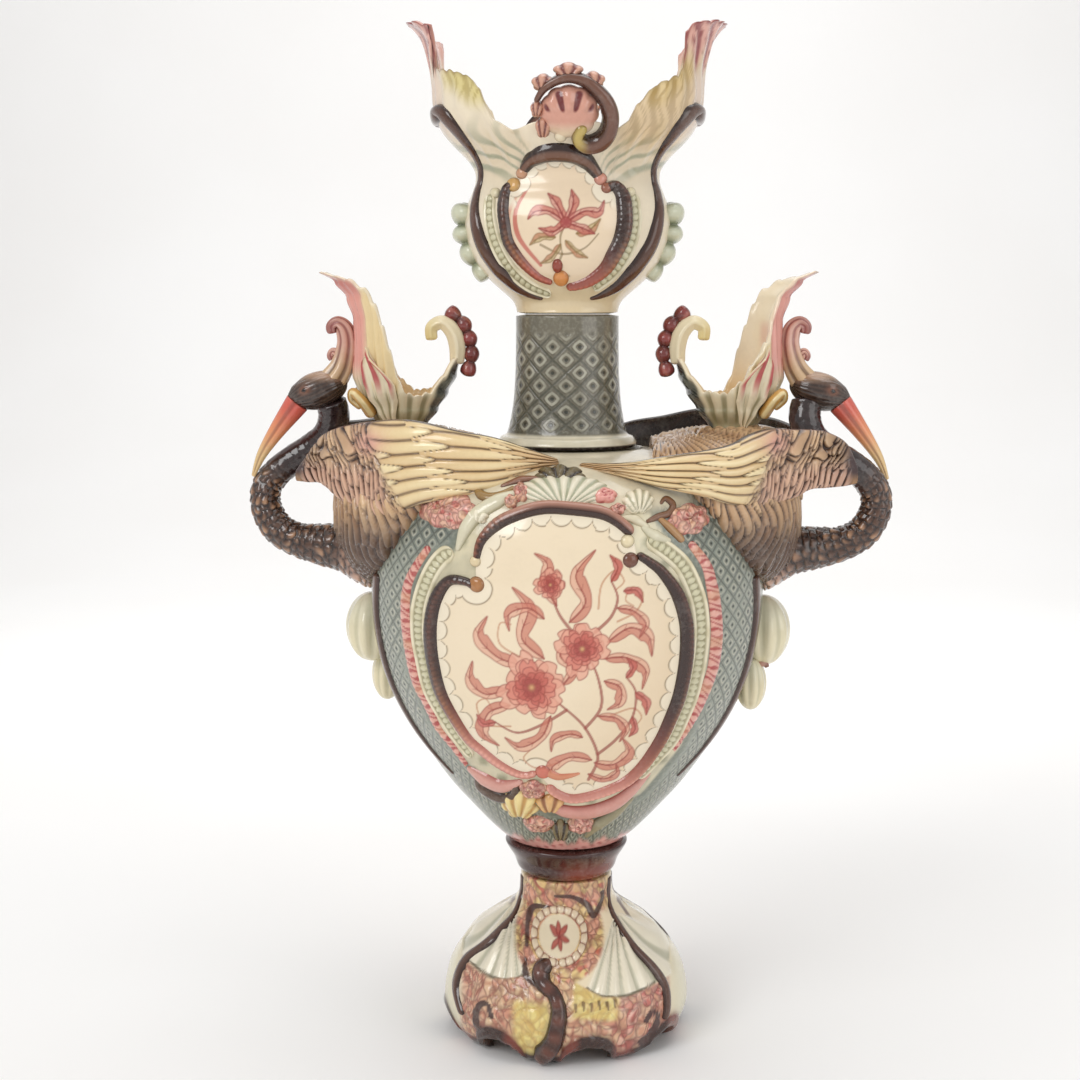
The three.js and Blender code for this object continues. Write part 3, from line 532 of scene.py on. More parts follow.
def foot_shape(u, v):
    """Inside wall down from its pole, round the arched edge, and up the outside to the collar. The columns
    stand closer on the front and on the back, where the painting is fine."""
    angle = u * 2 * np.pi - 0.28 * np.sin(u * 4 * np.pi)
    # eight arches, the first of them 12 degrees to the right of the front, cut to a round of 16 mm
    off_arch = (np.degrees(angle) - 12 + 22.5) % 45 - 22.5
    arch = np.maximum(np.sqrt(np.maximum(16**2 - (66 * np.sin(np.radians(off_arch))) ** 2, 0)) - 3, 0)
    outside, down = there_and_back(1 - v, 0.82)
    level = (arch + (foot.height - arch) * (1 - down)) / foot.height
    t = foot.along(level)
    flat = foot.at(angle, t)
    x, z = flat[:, 0] * np.where(flat[:, 1] < 0, 1, -1), level * foot.height
    across = x / foot.half_width
    brush = Brush(x, z, tint(240, 223, 190))
    ridge, line, leaf_tone = leafwork(x, z, 2.1)
    # the pale sides, with two thin dark sweeps and a greener hem
    brush.wash(tint(206, 212, 188), rises(0.74, 0.95, np.abs(across)) * 0.45)
    for side in (1, -1):
        for stroke in [[(0.42, 0.81), (0.58, 0.69), (0.82, 0.56)], [(0.5, 0.8), (0.64, 0.73), (0.74, 0.7)]]:
            brush.line(np.array(stroke) * [side, 1] * foot.mm, [0.2, 0.5, 0.4], tint(96, 66, 58), 0.9, 0.3)
    # the fluted fans between the medallion and the ribs
    relief = np.zeros(len(x))
    for side, hub, rim in [(1, (0.4, 0.78), [(0.18, 0.47), (0.3, 0.42), (0.5, 0.405), (0.72, 0.43)]),
                           (-1, (-0.42, 0.8), [(-0.3, 0.53), (-0.42, 0.485), (-0.58, 0.475), (-0.76, 0.5)])]:
        hub, rim = np.array(hub) * foot.mm, np.array(rim) * foot.mm
        turn = np.arctan2(x - hub[0], hub[1] - z)
        edge = np.interp(x * side, rim[:, 0] * side, rim[:, 1])
        fan = between(-0.55, -0.42, 1.0, 1.15, turn * side) * rises(-0.8, 0.6, z - edge)
        fan = fan * (1 - rises(-4, 0, z - hub[1])) * (np.abs(across) < 0.85)
        flute = np.cos(turn * 25)
        relief += flute * fan * 0.8
        brush.wash(tint(238, 229, 206), fan)
        brush.wash(tint(158, 158, 130), fan * rises(0.4, 1, -flute) * 0.65)
        brush.line(rim, [0.5, 0.9, 0.9, 0.5], tint(96, 86, 60), 0.9, 0.4)
    # the panels of leafwork under the fans
    hem_line = [(-0.8, 0.5), (-0.58, 0.47), (-0.3, 0.52), (-0.1, 0.5), (0.1, 0.5), (0.3, 0.42), (0.5, 0.4),
                (0.78, 0.43)]
    hem = np.interp(across, *np.array(hem_line).T)
    low = (1 - rises(-1.5, 0.5, (level - hem) * foot.height)) * (1 - rises(0.8, 0.86, np.abs(across)))
    rosy = mix(tint(232, 180, 160), tint(206, 118, 106), leaf_tone)
    tan = mix(tint(232, 196, 158), tint(214, 158, 128), leaf_tone)
    brush.wash(mix(tan, rosy, rises(0.3, 0.5, across) + rises(-0.3, -0.5, across) * 0.3), low)
    yellow_right = between(0.04, 0.1, 0.4, 0.46, across) * rises(0.3, 0.34, level + 0.1 * across)
    yellow_left = between(-0.44, -0.36, -0.14, -0.08, across) * (1 - rises(0.36, 0.42, level))
    yellow = np.maximum(yellow_right, yellow_left)
    brush.wash(mix(tint(234, 214, 136), tint(214, 178, 96), leaf_tone * 0.6), low * yellow)
    brush.wash(tint(128, 62, 50), low * line * (0.5 - 0.3 * yellow))
    for k in range(6):
        spot = np.array([0.09 + 0.062 * k, 0.385 + 0.008 * (k % 2)]) * foot.mm
        brush.line([spot, spot + [0.5, -4]], [0.9, 0.3], tint(96, 72, 40), 0.85, 0.3)
    # the leafwork round the medallion, and the pink stem above it
    ring = np.hypot((across + 0.045) / 0.36, (level - 0.7) / 0.22)
    round_it = (1 - rises(0.92, 1.04, ring)) * rises(0.44, 0.5, level)
    stem = rises(0.78, 0.84, level) * (1 - rises(0.33, 0.36, np.abs(across)))
    upper = np.maximum(round_it, stem)
    warm = rises(-0.3, 0.4, np.sin(x * 0.5) + np.sin(z * 0.45))
    reddish = leaf_tone * rises(-0.2, 0.8, np.sin(x * 0.33 + z * 0.4 + 1))
    brush.wash(mix(mix(tint(236, 206, 140), tint(226, 164, 136), warm), tint(206, 116, 92), reddish), upper)
    brush.wash(tint(120, 60, 46), upper * line * 0.4)
    relief += (low + upper) * (ridge - 0.35) * 0.9
    for scroll in [[(-0.08, 0.905), (0.06, 0.9), (0.17, 0.85), (0.23, 0.79), (0.29, 0.85), (0.3, 0.9)],
                   [(-0.12, 0.835), (-0.25, 0.825), (-0.3, 0.76), (-0.3, 0.66)],
                   [(-0.31, 0.6), (-0.3, 0.52), (-0.22, 0.48)]]:
        brush.line(np.array(scroll) * foot.mm, [0.8, 1.7, 1.2], tint(66, 36, 30), 0.95)
    # the medallion and its painted sprig
    disc = 1 - rises(0.92, 1.0, np.hypot((across + 0.045) / 0.17, (level - 0.71) / 0.1))
    brush.wash(tint(236, 222, 192), disc)
    relief *= 1 - disc
    heart = np.array([-0.045, 0.705]) * foot.mm
    for tip in [(-5.5, 4.5), (-1, 6.5), (4.5, 5), (6, -1.5), (1.5, -5.5), (-4, -5)]:
        tip, aside = np.array(tip), np.array([tip[1], -tip[0]]) * 0.2
        petal = heart + [0 * tip, tip * 0.6 + aside, tip, tip * 0.4 - aside]
        brush.area(petal, tint(178, 66, 60), 0.9, 0.5, tint(136, 40, 40))
    # the dark rolled edges of the arches and the volutes at their corners
    roll = hump(z - arch - 3.6, 4.4)
    rolled_edge = np.clip(roll * 1.7, 0, 1)
    brush.wash(mix(tint(54, 28, 20), tint(118, 54, 40), rises(0, 1, np.sin(x * 0.2 + 1))), rolled_edge)
    for volute in [[(0.62, 0.1), (0.7, 0.16), (0.74, 0.23), (0.7, 0.28), (0.65, 0.24)],
                   [(-0.66, 0.13), (-0.7, 0.21), (-0.68, 0.3), (-0.61, 0.33), (-0.58, 0.27)]]:
        brush.line(np.array(volute) * foot.mm, [2.6, 2.4, 1.9, 1.5, 1.8], tint(60, 34, 30), 0.95)
    out = np.where(outside, relief + roll * 1.7, -foot_wall + 3 * hump(z - arch, 3.2))
    points = foot.skin(angle, t, out)
    points[:, 2] = np.maximum(points[:, 2], 0)
    points[:, :2] *= np.where(outside, 1 - rises(0.988, 1.0, v), rises(0, 0.02, v))[:, None]
    leafy = np.clip(low * (1 - 0.7 * yellow) + upper, 0, 1) * rises(0.1, 0.25, brush.colour[:, 0])
    leafy = leafy * (1 - disc) * (1 - rolled_edge) * outside
    colour = mix(brush.colour, tint(126, 92, 70), ~outside * 0.85)
    return points, np.concatenate([colour, leafy[:, None]], 1)


pale_glaze = fired("pale_glaze", 0.13, 0.05, 0.15)
foot_glaze = fired("foot_glaze", 0.13, 0.05, 0.3, 210)
set_down(wrapped("foot_casting", 360, 188, foot_shape), foot_glaze, "cream_glaze", "foot_base")


def clay_roll(dark, light, pitch=0, share=0.85, from_dark=0.55):
    """A rolled moulding in brown, with a painted highlight along its crown and nicks across it where it has a
    pitch.
    """

    def relief(side, along, v, half):
        nick = 0.5 + 0.5 * np.cos(along * 2 * np.pi / pitch) if pitch else 0.6
        top = domed_over(side)
        out = half * share * top * (0.9 + 0.1 * nick)
        return out, mix(dark, light, rises(from_dark, 1.0, top) * (0.3 + 0.6 * nick))

    return relief


brown_glaze = fired("brown_glaze", 0.12, 0.06)
dark_roll = clay_roll(tint(46, 24, 17), tint(104, 66, 48))


def four_ribs(node, form, right, left, width):
    """A dark rib down each front quarter of a casting, and its twin on the back quarter across the axis."""
    for quarter, path, twin in [("front_right", right, "back_left"), ("front_left", left, "back_right")]:
        rib = banded(f"{node}_{quarter}_glazed", form, path, width, dark_roll)
        nodes = (f"{node}_{quarter}", f"{node}_{twin}")
        in_pair(rib, f"{node}_{twin}_glazed", brown_glaze, "brown_glaze", *nodes)


four_ribs("foot_rib", foot, foot_rib_right, foot_rib_left, [1.1, 1.2, 1.4, 1.6, 1.8, 2.2, 2.4, 2.2])

scroll = banded(
    "foot_scroll_front_glazed", foot,
    [(-0.1, 0.6), (-0.18, 0.55), (-0.16, 0.49), (-0.08, 0.44), (-0.04, 0.36), (-0.05, 0.26), (-0.08, 0.17),
     (-0.15, 0.09), (-0.22, 0.05)],
    [3.6, 5.8, 4.4, 4.8, 5.4, 6, 6.6, 7.4], clay_roll(tint(36, 19, 14), tint(108, 62, 48), 9),
)
on_both_faces(scroll, brown_glaze, "brown_glaze", "foot_scroll")


def pearl_ring(side, along, v, half):
    pearl = np.abs(np.sin(along * np.pi / 4.3)) ** 0.5 * domed_over(side)
    return 0.3 + 1.3 * pearl, mix(tint(146, 102, 80), tint(228, 208, 178), rises(0.25, 0.7, pearl))


turns = np.linspace(0, 2 * np.pi, 25)
ring_path = np.stack([-0.045 + 0.2 * np.sin(turns), 0.71 - 0.118 * np.cos(turns)], 1)
ring = banded("foot_medallion_ring_front_glazed", foot, ring_path, [2.2, 2.2], pearl_ring, 0.45)
on_both_faces(ring, pale_glaze, "cream_glaze", "foot_medallion_ring")

# The waist collar, a turned clay ring in dark brown glaze. It sits over the joint of the foot and the body,
# and slip holds it there.
collar = Form(
    [(0.73, 0), (0.8, 0.15), (0.86, 0.45), (0.96, 0.75), (1, 0.92), (0.95, 1)],
    half_width=37, height=20, base=98.3,
)


def collar_shape(u, v):
    points = collar.skin(u * 2 * np.pi, np.clip((v - 0.05) / 0.9, 0, 1), 0)
    points[:, :2] *= from_ends(v, 0.05)[:, None]
    # a painted highlight: two lighter, redder bands low on opposite sides of the dark collar
    warm = rises(-0.2, 0.9, np.sin(u * 4 * np.pi + 0.4)) * rises(0.7, 0.2, v)
    return points, mix(tint(60, 28, 23), tint(138, 62, 44), warm * 0.85)


set_down(wrapped("waist_collar_glazed", 120, 40, collar_shape), brown_glaze, "brown_glaze", "waist_collar")

# The body, a heart-shaped casting flattened front to back. Its grey-green ground carries a pressed diaper.
# Bands of beads and husks and a rolled frame are luted on, and so are the ribs, shells and scrolls.
body = Form(
    [(0.29, 0), (0.386, 0.042), (0.506, 0.105), (0.618, 0.169), (0.755, 0.266), (0.867, 0.359),
     (0.948, 0.451), (0.991, 0.557), (1, 0.641), (0.994, 0.726), (0.953, 0.819), (0.867, 0.895),
     (0.738, 0.949), (0.6, 0.979), (0.36, 1)],
    half_width=116.5, height=237, base=118.6, depth_share=0.86,
)
body_wall = 7
frame_arch = [(-0.41, 0.755), (-0.385, 0.81), (-0.31, 0.85), (-0.21, 0.875), (-0.09, 0.89), (0.04, 0.888),
              (0.17, 0.879), (0.25, 0.86), (0.32, 0.83)]
frame_left = [(-0.41, 0.705), (-0.46, 0.717), (-0.54, 0.715), (-0.6, 0.675), (-0.63, 0.62), (-0.635, 0.56),
              (-0.62, 0.5), (-0.59, 0.44), (-0.53, 0.38), (-0.46, 0.325), (-0.39, 0.295), (-0.32, 0.267),
              (-0.24, 0.245), (-0.18, 0.24), (-0.13, 0.25)]
frame_right = [(0.34, 0.785), (0.4, 0.765), (0.46, 0.74), (0.53, 0.69), (0.57, 0.63), (0.58, 0.58),
               (0.575, 0.52), (0.55, 0.445), (0.51, 0.385), (0.46, 0.325), (0.38, 0.26), (0.3, 0.22),
               (0.21, 0.198), (0.11, 0.182), (0.03, 0.178), (-0.04, 0.194), (-0.08, 0.215)]
panel_line = np.array(frame_arch + frame_right + frame_left[::-1])


def body_shape(u, v):
    outside, t = there_and_back(v, 0.94)
    points = body.skin(u * 2 * np.pi, t, np.where(outside, 0, -body_wall))
    points[:, :2] *= np.where(outside, rises(0, 0.01, v), rises(0, 0.02, 1 - v))[:, None]
    x = points[:, 0] * np.where(points[:, 1] < 0, 1, -1)
    z = points[:, 2] - body.base
    off = off_line(x, z, (panel_line * body.mm)[::2], closed=True)[0]
    level = z / body.height
    reach = np.abs(x) / body.half_width
    grey = mix(tint(150, 156, 144), tint(92, 102, 96), rises(0.7, 0.92, level))
    grey = mix(grey, tint(128, 134, 118), 1 - rises(0.08, 0.25, level))
    # a pale strip by the frame, and a darker line before the diaper starts
    cloud = rises(0.3, 0.9, np.sin(x * 0.31) * np.sin(z * 0.27))
    strip = mix(tint(224, 214, 182), tint(160, 156, 124), cloud)
    colour = mix(strip, mix(tint(120, 126, 112), grey, rises(16, 19, off)), rises(13, 15, off))
    # the field above the arch, and the pink glaze that runs down over the waist
    crest = rises(0.86, 0.9, level) * (1 - rises(0.56, 0.68, reach))
    colour = mix(colour, tint(226, 214, 186), crest)
    waist = 1 - rises(6, 11, z + 2 * np.sin(x * 0.5) + np.sin(x * 1.3))
    streak = rises(0.1, 1, np.sin(x * 0.7) * np.sin(x * 0.43 + z))
    colour = mix(colour, mix(tint(222, 158, 148), tint(176, 88, 84), streak), waist)
    mask = rises(18, 21, off) * (1 - waist) * (1 - crest) * outside
    return points, np.concatenate([colour, mask[:, None]], 1)


def pressed(name, around, tall):
    """The grey-green glaze with its diaper of diamonds, each with a ring and a dot, so many round the
    casting and each so tall in mm."""

    def shader(glaze):
        place = glaze.node("ShaderNodeTexCoord").output("Object")
        point = glaze.node("ShaderNodeSeparateXYZ", None, {0: place})
        x = point.math("ARCTAN2", point, point.output("Y")) * (around / math.tau)
        y = point.output("Z") * (1000 / tall)
        one = x.math("FRACT", x + y) - 0.5
        two = x.math("FRACT", x - y) - 0.5
        near = one.math("ABSOLUTE", one).high(two.math("ABSOLUTE", two))
        span = one * one + two * two
        middle = span.math("SQRT", span)
        soft = near * 0.6 + middle * 0.4
        ring = soft.rises(0.16, 0.21) * (1 - soft.rises(0.3, 0.36))
        dot = 1 - middle.rises(0.07, 0.13)
        gap = near.rises(0.41, 0.48)
        painted = glaze.node("ShaderNodeAttribute", {"attribute_name": "paint"})
        mask = painted.output("Alpha")
        broad = glaze.noise(place, 60, 5)
        fine = glaze.noise(place, 500, 3)
        worn = (broad.rises(0.38, 0.62) * 0.6 + 0.4) * mask
        colour = glaze.blend((broad - 0.4) * 0.9, painted, (0.04, 0.045, 0.035, 1))
        colour = glaze.blend((fine - 0.45) * 0.7, colour, (0.6, 0.58, 0.46, 1))
        colour = glaze.blend(worn * ring * 0.6, colour, (0.62, 0.6, 0.48, 1))
        colour = glaze.blend(mask * gap * 0.55, colour, (0.05, 0.055, 0.04, 1))
        colour = glaze.blend(mask * dot * 0.85, colour, (0.025, 0.028, 0.02, 1))
        height = mask * (ring - dot * 0.8 - gap * 0.6) + fine * 0.15 + broad * 0.3
        return under_gloss(glaze, colour, fine * 0.1 + 0.12, height, 0.7, 0.0008)

    return material_of(name, shader)


diaper_glaze = pressed("body_diaper_glaze", 62, 10.6)
set_down(wrapped("body_casting", 304, 136, body_shape), diaper_glaze, "grey_green_glaze", "vase_body")


def frame_roll(side, along, v, half, last_dark=tint(156, 80, 70), last_light=tint(234, 168, 150)):
    """The frame's rolled moulding: nicked brown with a painted highlight along one ridge, and in its later
    part along its crown too, turning ochre and then pink as it sweeps under the panel.
    """
    nick = 0.5 + 0.5 * np.cos(along * 2 * np.pi / 3)
    top = domed_over(side)
    ridge = hump(side + 0.3, 0.32)
    dark = mix(tint(46, 23, 16), last_dark, rises(0.45, 0.8, v))
    light = mix(tint(118, 72, 56), tint(190, 128, 84), rises(0.35, 0.6, v))
    light = mix(light, last_light, rises(0.6, 0.8, v))
    share = ridge * (0.2 + 0.4 * nick) + rises(0.55, 0.85, v) * 0.55 * top
    return half * top * (0.86 + 0.14 * ridge) + 0.2 * nick, mix(dark, light, np.clip(share, 0, 1))


def arch_roll(side, along, v, half):
    """The arch of the frame, tan with painted shade along its lower edge and in the nicks of its ribbing at
    its left shoulder.
    """
    nick = 0.5 + 0.5 * np.cos(along * 2 * np.pi / 3.4) * (1 - rises(0.2, 0.36, v))
    light = mix(tint(150, 92, 70), tint(206, 150, 128), rises(0.1, 0.4, v))
    shade = np.clip(rises(-0.35, 0.75, side) + 0.6 * (1 - nick), 0, 1)
    return half * domed_over(side) * (0.85 + 0.12 * nick), mix(light, tint(54, 27, 18), shade)


for name, path, width, relief in [
    ("arch", frame_arch, [2, 3.8, 4, 4, 3.4], arch_roll),
    ("left", frame_left, [2.4, 4, 4.2, 4, 3.4, 3, 2.4], frame_roll),
    ("right", frame_right, [2.4, 4.2, 4.4, 4.2, 3.8, 3.4, 3], frame_roll),
]:
    band = banded(f"panel_frame_{name}_front_glazed", body, path, width, relief)
    on_both_faces(band, brown_glaze, "brown_glaze", f"panel_frame_{name}")


def beaded(side, along, v, half):
    """Two cream fillets with a string of pale green beads between them, darker in the channel round the beads
    as painted shade.
    """
    fillet = hump(np.abs(side) - 0.72, 0.2)
    bead = np.clip(1 - (side / 0.42) ** 2 - (((along / 3.7) % 1 - 0.5) / 0.46) ** 2, 0, 1) ** 0.5
    colour = mix(tint(160, 152, 116), tint(214, 208, 174), rises(0.05, 0.6, bead))
    edge = mix(tint(238, 228, 198), tint(206, 194, 152), rises(0.2, 1, np.sin(along * 0.31)) * 0.5)
    edge = mix(edge, tint(120, 108, 72), rises(0.86, 0.97, np.abs(side)) * 0.8)
    return 0.2 + fillet * 1.4 + bead * 1.0, mix(colour, edge, rises(0.1, 0.5, fillet))


def husks(side, along, v, half):
    """A run of small pink husks, red in their hollows, with a dark line each side."""
    husk = 0.5 + 0.5 * np.sin(along * 1.7 + side * 2.5 + 1.5 * np.sin(along * 0.61 + side * 3))
    colour = mix(tint(176, 74, 70), tint(230, 172, 156), rises(0.15, 0.6, husk + 0.2 * side))
    colour = mix(colour, tint(218, 168, 126), rises(0.6, 1, np.sin(along * 0.23)) * 0.4)
    colour = mix(colour, tint(130, 66, 58), rises(0.8, 0.97, np.abs(side)) * 0.7)
    return 0.4 + (1 - side**2) * (0.6 + 0.7 * husk), colour


pink_glaze = fired("pink_glaze", 0.13, 0.08)
floret_glaze = fired("floret_glaze", 0.14, 0.06, 0.4, 300)
bead_left = [(-0.52, 0.785), (-0.58, 0.765), (-0.64, 0.72), (-0.69, 0.65), (-0.7, 0.58), (-0.68, 0.51),
             (-0.65, 0.44), (-0.59, 0.38), (-0.53, 0.33), (-0.45, 0.275)]
bead_right = [(0.39, 0.82), (0.49, 0.785), (0.56, 0.75), (0.61, 0.7), (0.64, 0.65), (0.65, 0.59),
              (0.64, 0.52), (0.61, 0.44), (0.57, 0.38), (0.52, 0.32), (0.44, 0.27), (0.36, 0.225)]
husk_left = [(-0.64, 0.79), (-0.72, 0.73), (-0.76, 0.68), (-0.77, 0.61), (-0.75, 0.52), (-0.72, 0.45),
             (-0.67, 0.4), (-0.62, 0.34), (-0.55, 0.295), (-0.48, 0.245)]
husk_right = [(0.59, 0.805), (0.67, 0.75), (0.7, 0.7), (0.72, 0.645), (0.73, 0.58), (0.72, 0.51),
              (0.69, 0.455), (0.64, 0.39), (0.6, 0.35), (0.53, 0.29)]
for name, path, width, relief, glaze in [
    ("beaded_band_left", bead_left, [5.4, 5.6, 5.4, 5, 4.4, 3.4], beaded, pale_glaze),
    ("beaded_band_right", bead_right, [5.4, 5.6, 5.6, 5.4, 4.6, 3.4], beaded, pale_glaze),
    ("husk_band_left", husk_left, [2.2, 3.4, 3.4, 2.8, 1.6], husks, pink_glaze),
    ("husk_band_right", husk_right, [2.4, 4, 4.2, 3.6, 1.8], husks, pink_glaze),
]:
    band = banded(f"{name}_front", body, path, width, relief, 0.68)
    on_both_faces(band, glaze, "cream_glaze" if glaze is pale_glaze else "pink_glaze")


def ball(colour, dark=0.5):
    """A round head, with painted shade darkening it towards its edge."""

    def relief(x, z, share, turn):
        return 2.6 * domed_over(share), mix(colour, colour * dark, rises(0.55, 1, share))

    return relief


def knobs(name, form, places):
    """Small balls of clay, each at a drawn place, so wide and so tall, in its own colour."""
    for k, (across, up, wide, tall, colour) in enumerate(places):
        knob = domed(f"{name}_{k}_front", form, (across, up), (wide, tall), ball(colour))
        on_both_faces(knob, pale_glaze, "cream_glaze")


knobs("frame_knob", body, [
    (0.295, 0.815, 4.2, 4.2, tint(232, 216, 178)), (0.31, 0.772, 4.8, 4.8, tint(112, 66, 48)),
    (-0.405, 0.712, 5, 5, tint(172, 116, 66)), (-0.41, 0.765, 3.6, 3.6, tint(226, 206, 166)),
    (-0.1, 0.252, 5, 5, tint(206, 116, 96)),
])


def scrolls(name, share, from_dark, rows):
    """Small scrolls of clay on the body, each from its two colours, its half widths and its line."""
    for k, (dark, light, width, path) in enumerate(rows):
        curl = banded(f"{name}_{k}_front", body, path, width, clay_roll(dark, light, 0, share, from_dark))
        on_both_faces(curl, pink_glaze, "pink_glaze")


# the scrolls and leaves below the panel, down to the waist
scrolls("lower_scroll", 0.75, 0.1, [
    (tint(30, 19, 18), tint(100, 70, 46), [1.8, 3.6, 3.8, 3.2, 2.8],
     [(-0.43, 0.225), (-0.42, 0.19), (-0.36, 0.168), (-0.3, 0.163), (-0.25, 0.176), (-0.24, 0.2),
      (-0.27, 0.212)]),
    (tint(156, 62, 58), tint(232, 176, 160), [1, 3.6, 4.8, 5, 4.4, 1.8],
     [(0.42, 0.235), (0.32, 0.185), (0.24, 0.155), (0.14, 0.137), (0.04, 0.135), (-0.04, 0.148),
      (-0.1, 0.178)]),
    (tint(162, 68, 62), tint(236, 186, 170), [1.6, 4.6, 4.6, 1.6],
     [(-0.48, 0.24), (-0.38, 0.21), (-0.3, 0.2), (-0.2, 0.222)]),
    (tint(176, 84, 68), tint(226, 158, 118), [3, 2.8, 2, 1],
     [(-0.09, 0.255), (-0.03, 0.24), (0.03, 0.243), (0.08, 0.25)]),
    (tint(88, 84, 62), tint(170, 160, 124), [1, 3.6, 4.4, 1.6],
     [(0.34, 0.165), (0.24, 0.12), (0.16, 0.09), (0.1, 0.05)]),
])

side_rib = np.array([(0.56, 0.2), (0.7, 0.27), (0.81, 0.355), (0.885, 0.45), (0.93, 0.54), (0.945, 0.62),
                     (0.935, 0.7)])
four_ribs("side_rib", body, side_rib, side_rib * [-1, 1], [1, 2, 2.3, 2.4, 2.4])


def shell_lobe(centre, radii, tone):
    """A rounded lobe of a shell on the side of the body, with soft flutes from its hinge, a little paler
    towards its top as painted light from above.
    """

    def place(u, v):
        turn, lean = u * 2 * np.pi, v * np.pi
        flute = np.cos(turn * 9) * np.sin(lean)
        ring = np.sin(lean) * (1 + 0.05 * flute)
        x, y, z = ring * np.cos(turn), ring * np.sin(turn), np.cos(lean)
        points = np.stack([x * radii[0], y * radii[1], z * radii[2]], -1) + centre
        colour = mix(tone, tint(234, 228, 200), rises(-0.2, 0.8, z))
        return points, mix(colour, tint(180, 176, 144), rises(0.3, 1, -flute) * 0.5)

    return place


def curl_paint(u, v, along):
    return 0, mix(tint(226, 176, 158), tint(120, 74, 62), v)


large_lobe = shell_lobe([117.5, -2, 246.6], [15, 20, 21], tint(232, 222, 188))
small_lobe = shell_lobe([109.5, -10, 215.8], [9, 11, 16], tint(234, 222, 186))
curl_line = [(111, -8, 226), (115, -11, 228), (118, -11, 227.5), (119, -11, 225.5)]
for side in ("right", "left"):
    upper = wrapped(f"side_shell_{side}_glazed", 90, 60, large_lobe)
    lower = wrapped(f"side_shell_{side}_lower", 80, 50, small_lobe)
    curl = rolled(f"side_curl_{side}", curl_line, [2.2, 2, 1.4], 40, 16, cap=0.1, paint=curl_paint)
    if side == "left":
        for piece in (upper, lower, curl):
            turn_round(piece)
    set_down(upper, pale_glaze, "cream_glaze", f"side_shell_{side}")
    set_down(lower, pale_glaze, "cream_glaze")
    set_down(curl, pink_glaze, "pink_glaze")

# The panel in the frame, a cream field with a lace edge, painted in pink with a spray of flowers. It is the
# body's own skin under a thicker glaze, and its brushwork lies on that skin.


def draped(name, form, box, line, fine, paint):
    """A field of glaze on a casting inside a drawn line, its rim and its underside let into the casting."""
    (left, low), (right, high) = box
    line = np.asarray(line) * form.mm

    def place(u, v):
        above, across = there_and_back(u, 0.95)
        across = left + across * (right - left)
        up = low + v * (high - low)
        x, z = across * form.half_width, up * form.height
        off, along = off_line(x, z, line, closed=True)
        out = np.where(above, 0.35 - 1.6 * rises(-0.6, 1.2, off), -1.25)
        return form.drawn(across, up, out), paint(x, z, off, along)

    columns = (right - left) * form.half_width / fine / 0.95
    rows = (high - low) * form.height / fine
    return wrapped(name, int(columns), int(rows), place)


rose_line = tint(152, 60, 48)
rose_wash = tint(224, 152, 126)


def leaf(brush, rib, broad, wash=rose_wash, line=rose_line, veins=3, strength=0.6):
    """A painted leaf round its rib, one half darker, with a wavy outline and a few side veins."""
    rib = np.asarray(rib, float)
    t = np.linspace(0, 1, 11)
    middle, ahead = spline(rib, t), ahead_of(rib, t)
    half = np.sin(np.pi * t**0.8) ** 0.9 * broad * 0.85 * (1 + 0.22 * np.sin(t * 13))
    side = np.stack([ahead[:, 1], -ahead[:, 0]], 1) * half[:, None]
    outer, inner = middle + side, middle - 0.75 * side
    brush.area(np.concatenate([outer, inner[::-1][1:-1]]), wash, strength, 0.5, line)
    brush.area(np.concatenate([outer, middle[::-1][1:-1]]), tint(190, 88, 68), 0.5, 0.6)
    brush.line(rib, [0.45, 0.3, 0.1], line, 0.85)
    for share in np.linspace(0.25, 0.7, veins):
        root, way = spline(rib, [share, share])[0], ahead_of(rib, [share])[0]
        for turn in (0.88, -0.72):
            vein = (way + np.array([way[1], -way[0]]) * turn) * broad * 0.5
            brush.line([root, root + vein], [0.25, 0.05], line, 0.5)


def bloom(brush, x, z, size, petals, turn):
    """A full flower: four rings of uneven petals that lie over each other, darker towards the heart."""
    heart = np.array([x, z])
    shape = [(0.1, 0), (0.45, 0.8), (0.8, 1.05), (1.04, 0.5), (0.9, 0.1), (1.06, -0.35), (0.85, -0.95),
             (0.5, -0.85)]
    for reach, count, wash in [
        (1, petals, tint(230, 164, 140)), (0.72, petals, tint(214, 126, 108)),
        (0.5, petals - 1, tint(198, 98, 84)), (0.3, petals - 2, tint(178, 76, 66)),
    ]:
        for k in range(count):
            odd = math.sin(k * 2.7 + size + reach * 9)
            angle = turn + (k + 0.3 * odd) * 2 * math.pi / count + reach * 2
            long = size * reach * (1 + 0.2 * odd)
            broad = size * reach * math.sin(math.pi / count) * (1.25 - 0.2 * odd)
            ahead = np.array([math.sin(angle), math.cos(angle)]) * long
            side = np.array([math.cos(angle), -math.sin(angle)]) * broad
            brush.area(np.array([ahead * a + side * b + heart for a, b in shape]), wash, 0.8, 0.4, rose_line)
            for lean in (-0.4, 0.05, 0.45):
                vein = [ahead * 0.3 + heart, ahead * 0.75 + side * lean + heart]
                brush.line(vein, [0.35, 0.05], rose_line, 0.5)
    off_heart = np.hypot(brush.x - x, brush.z - z) / size
    brush.wash(tint(150, 56, 54), 0.5 * hump(off_heart, 0.3))
    brush.wash(tint(226, 180, 120), 0.8 * hump(off_heart, 0.09))


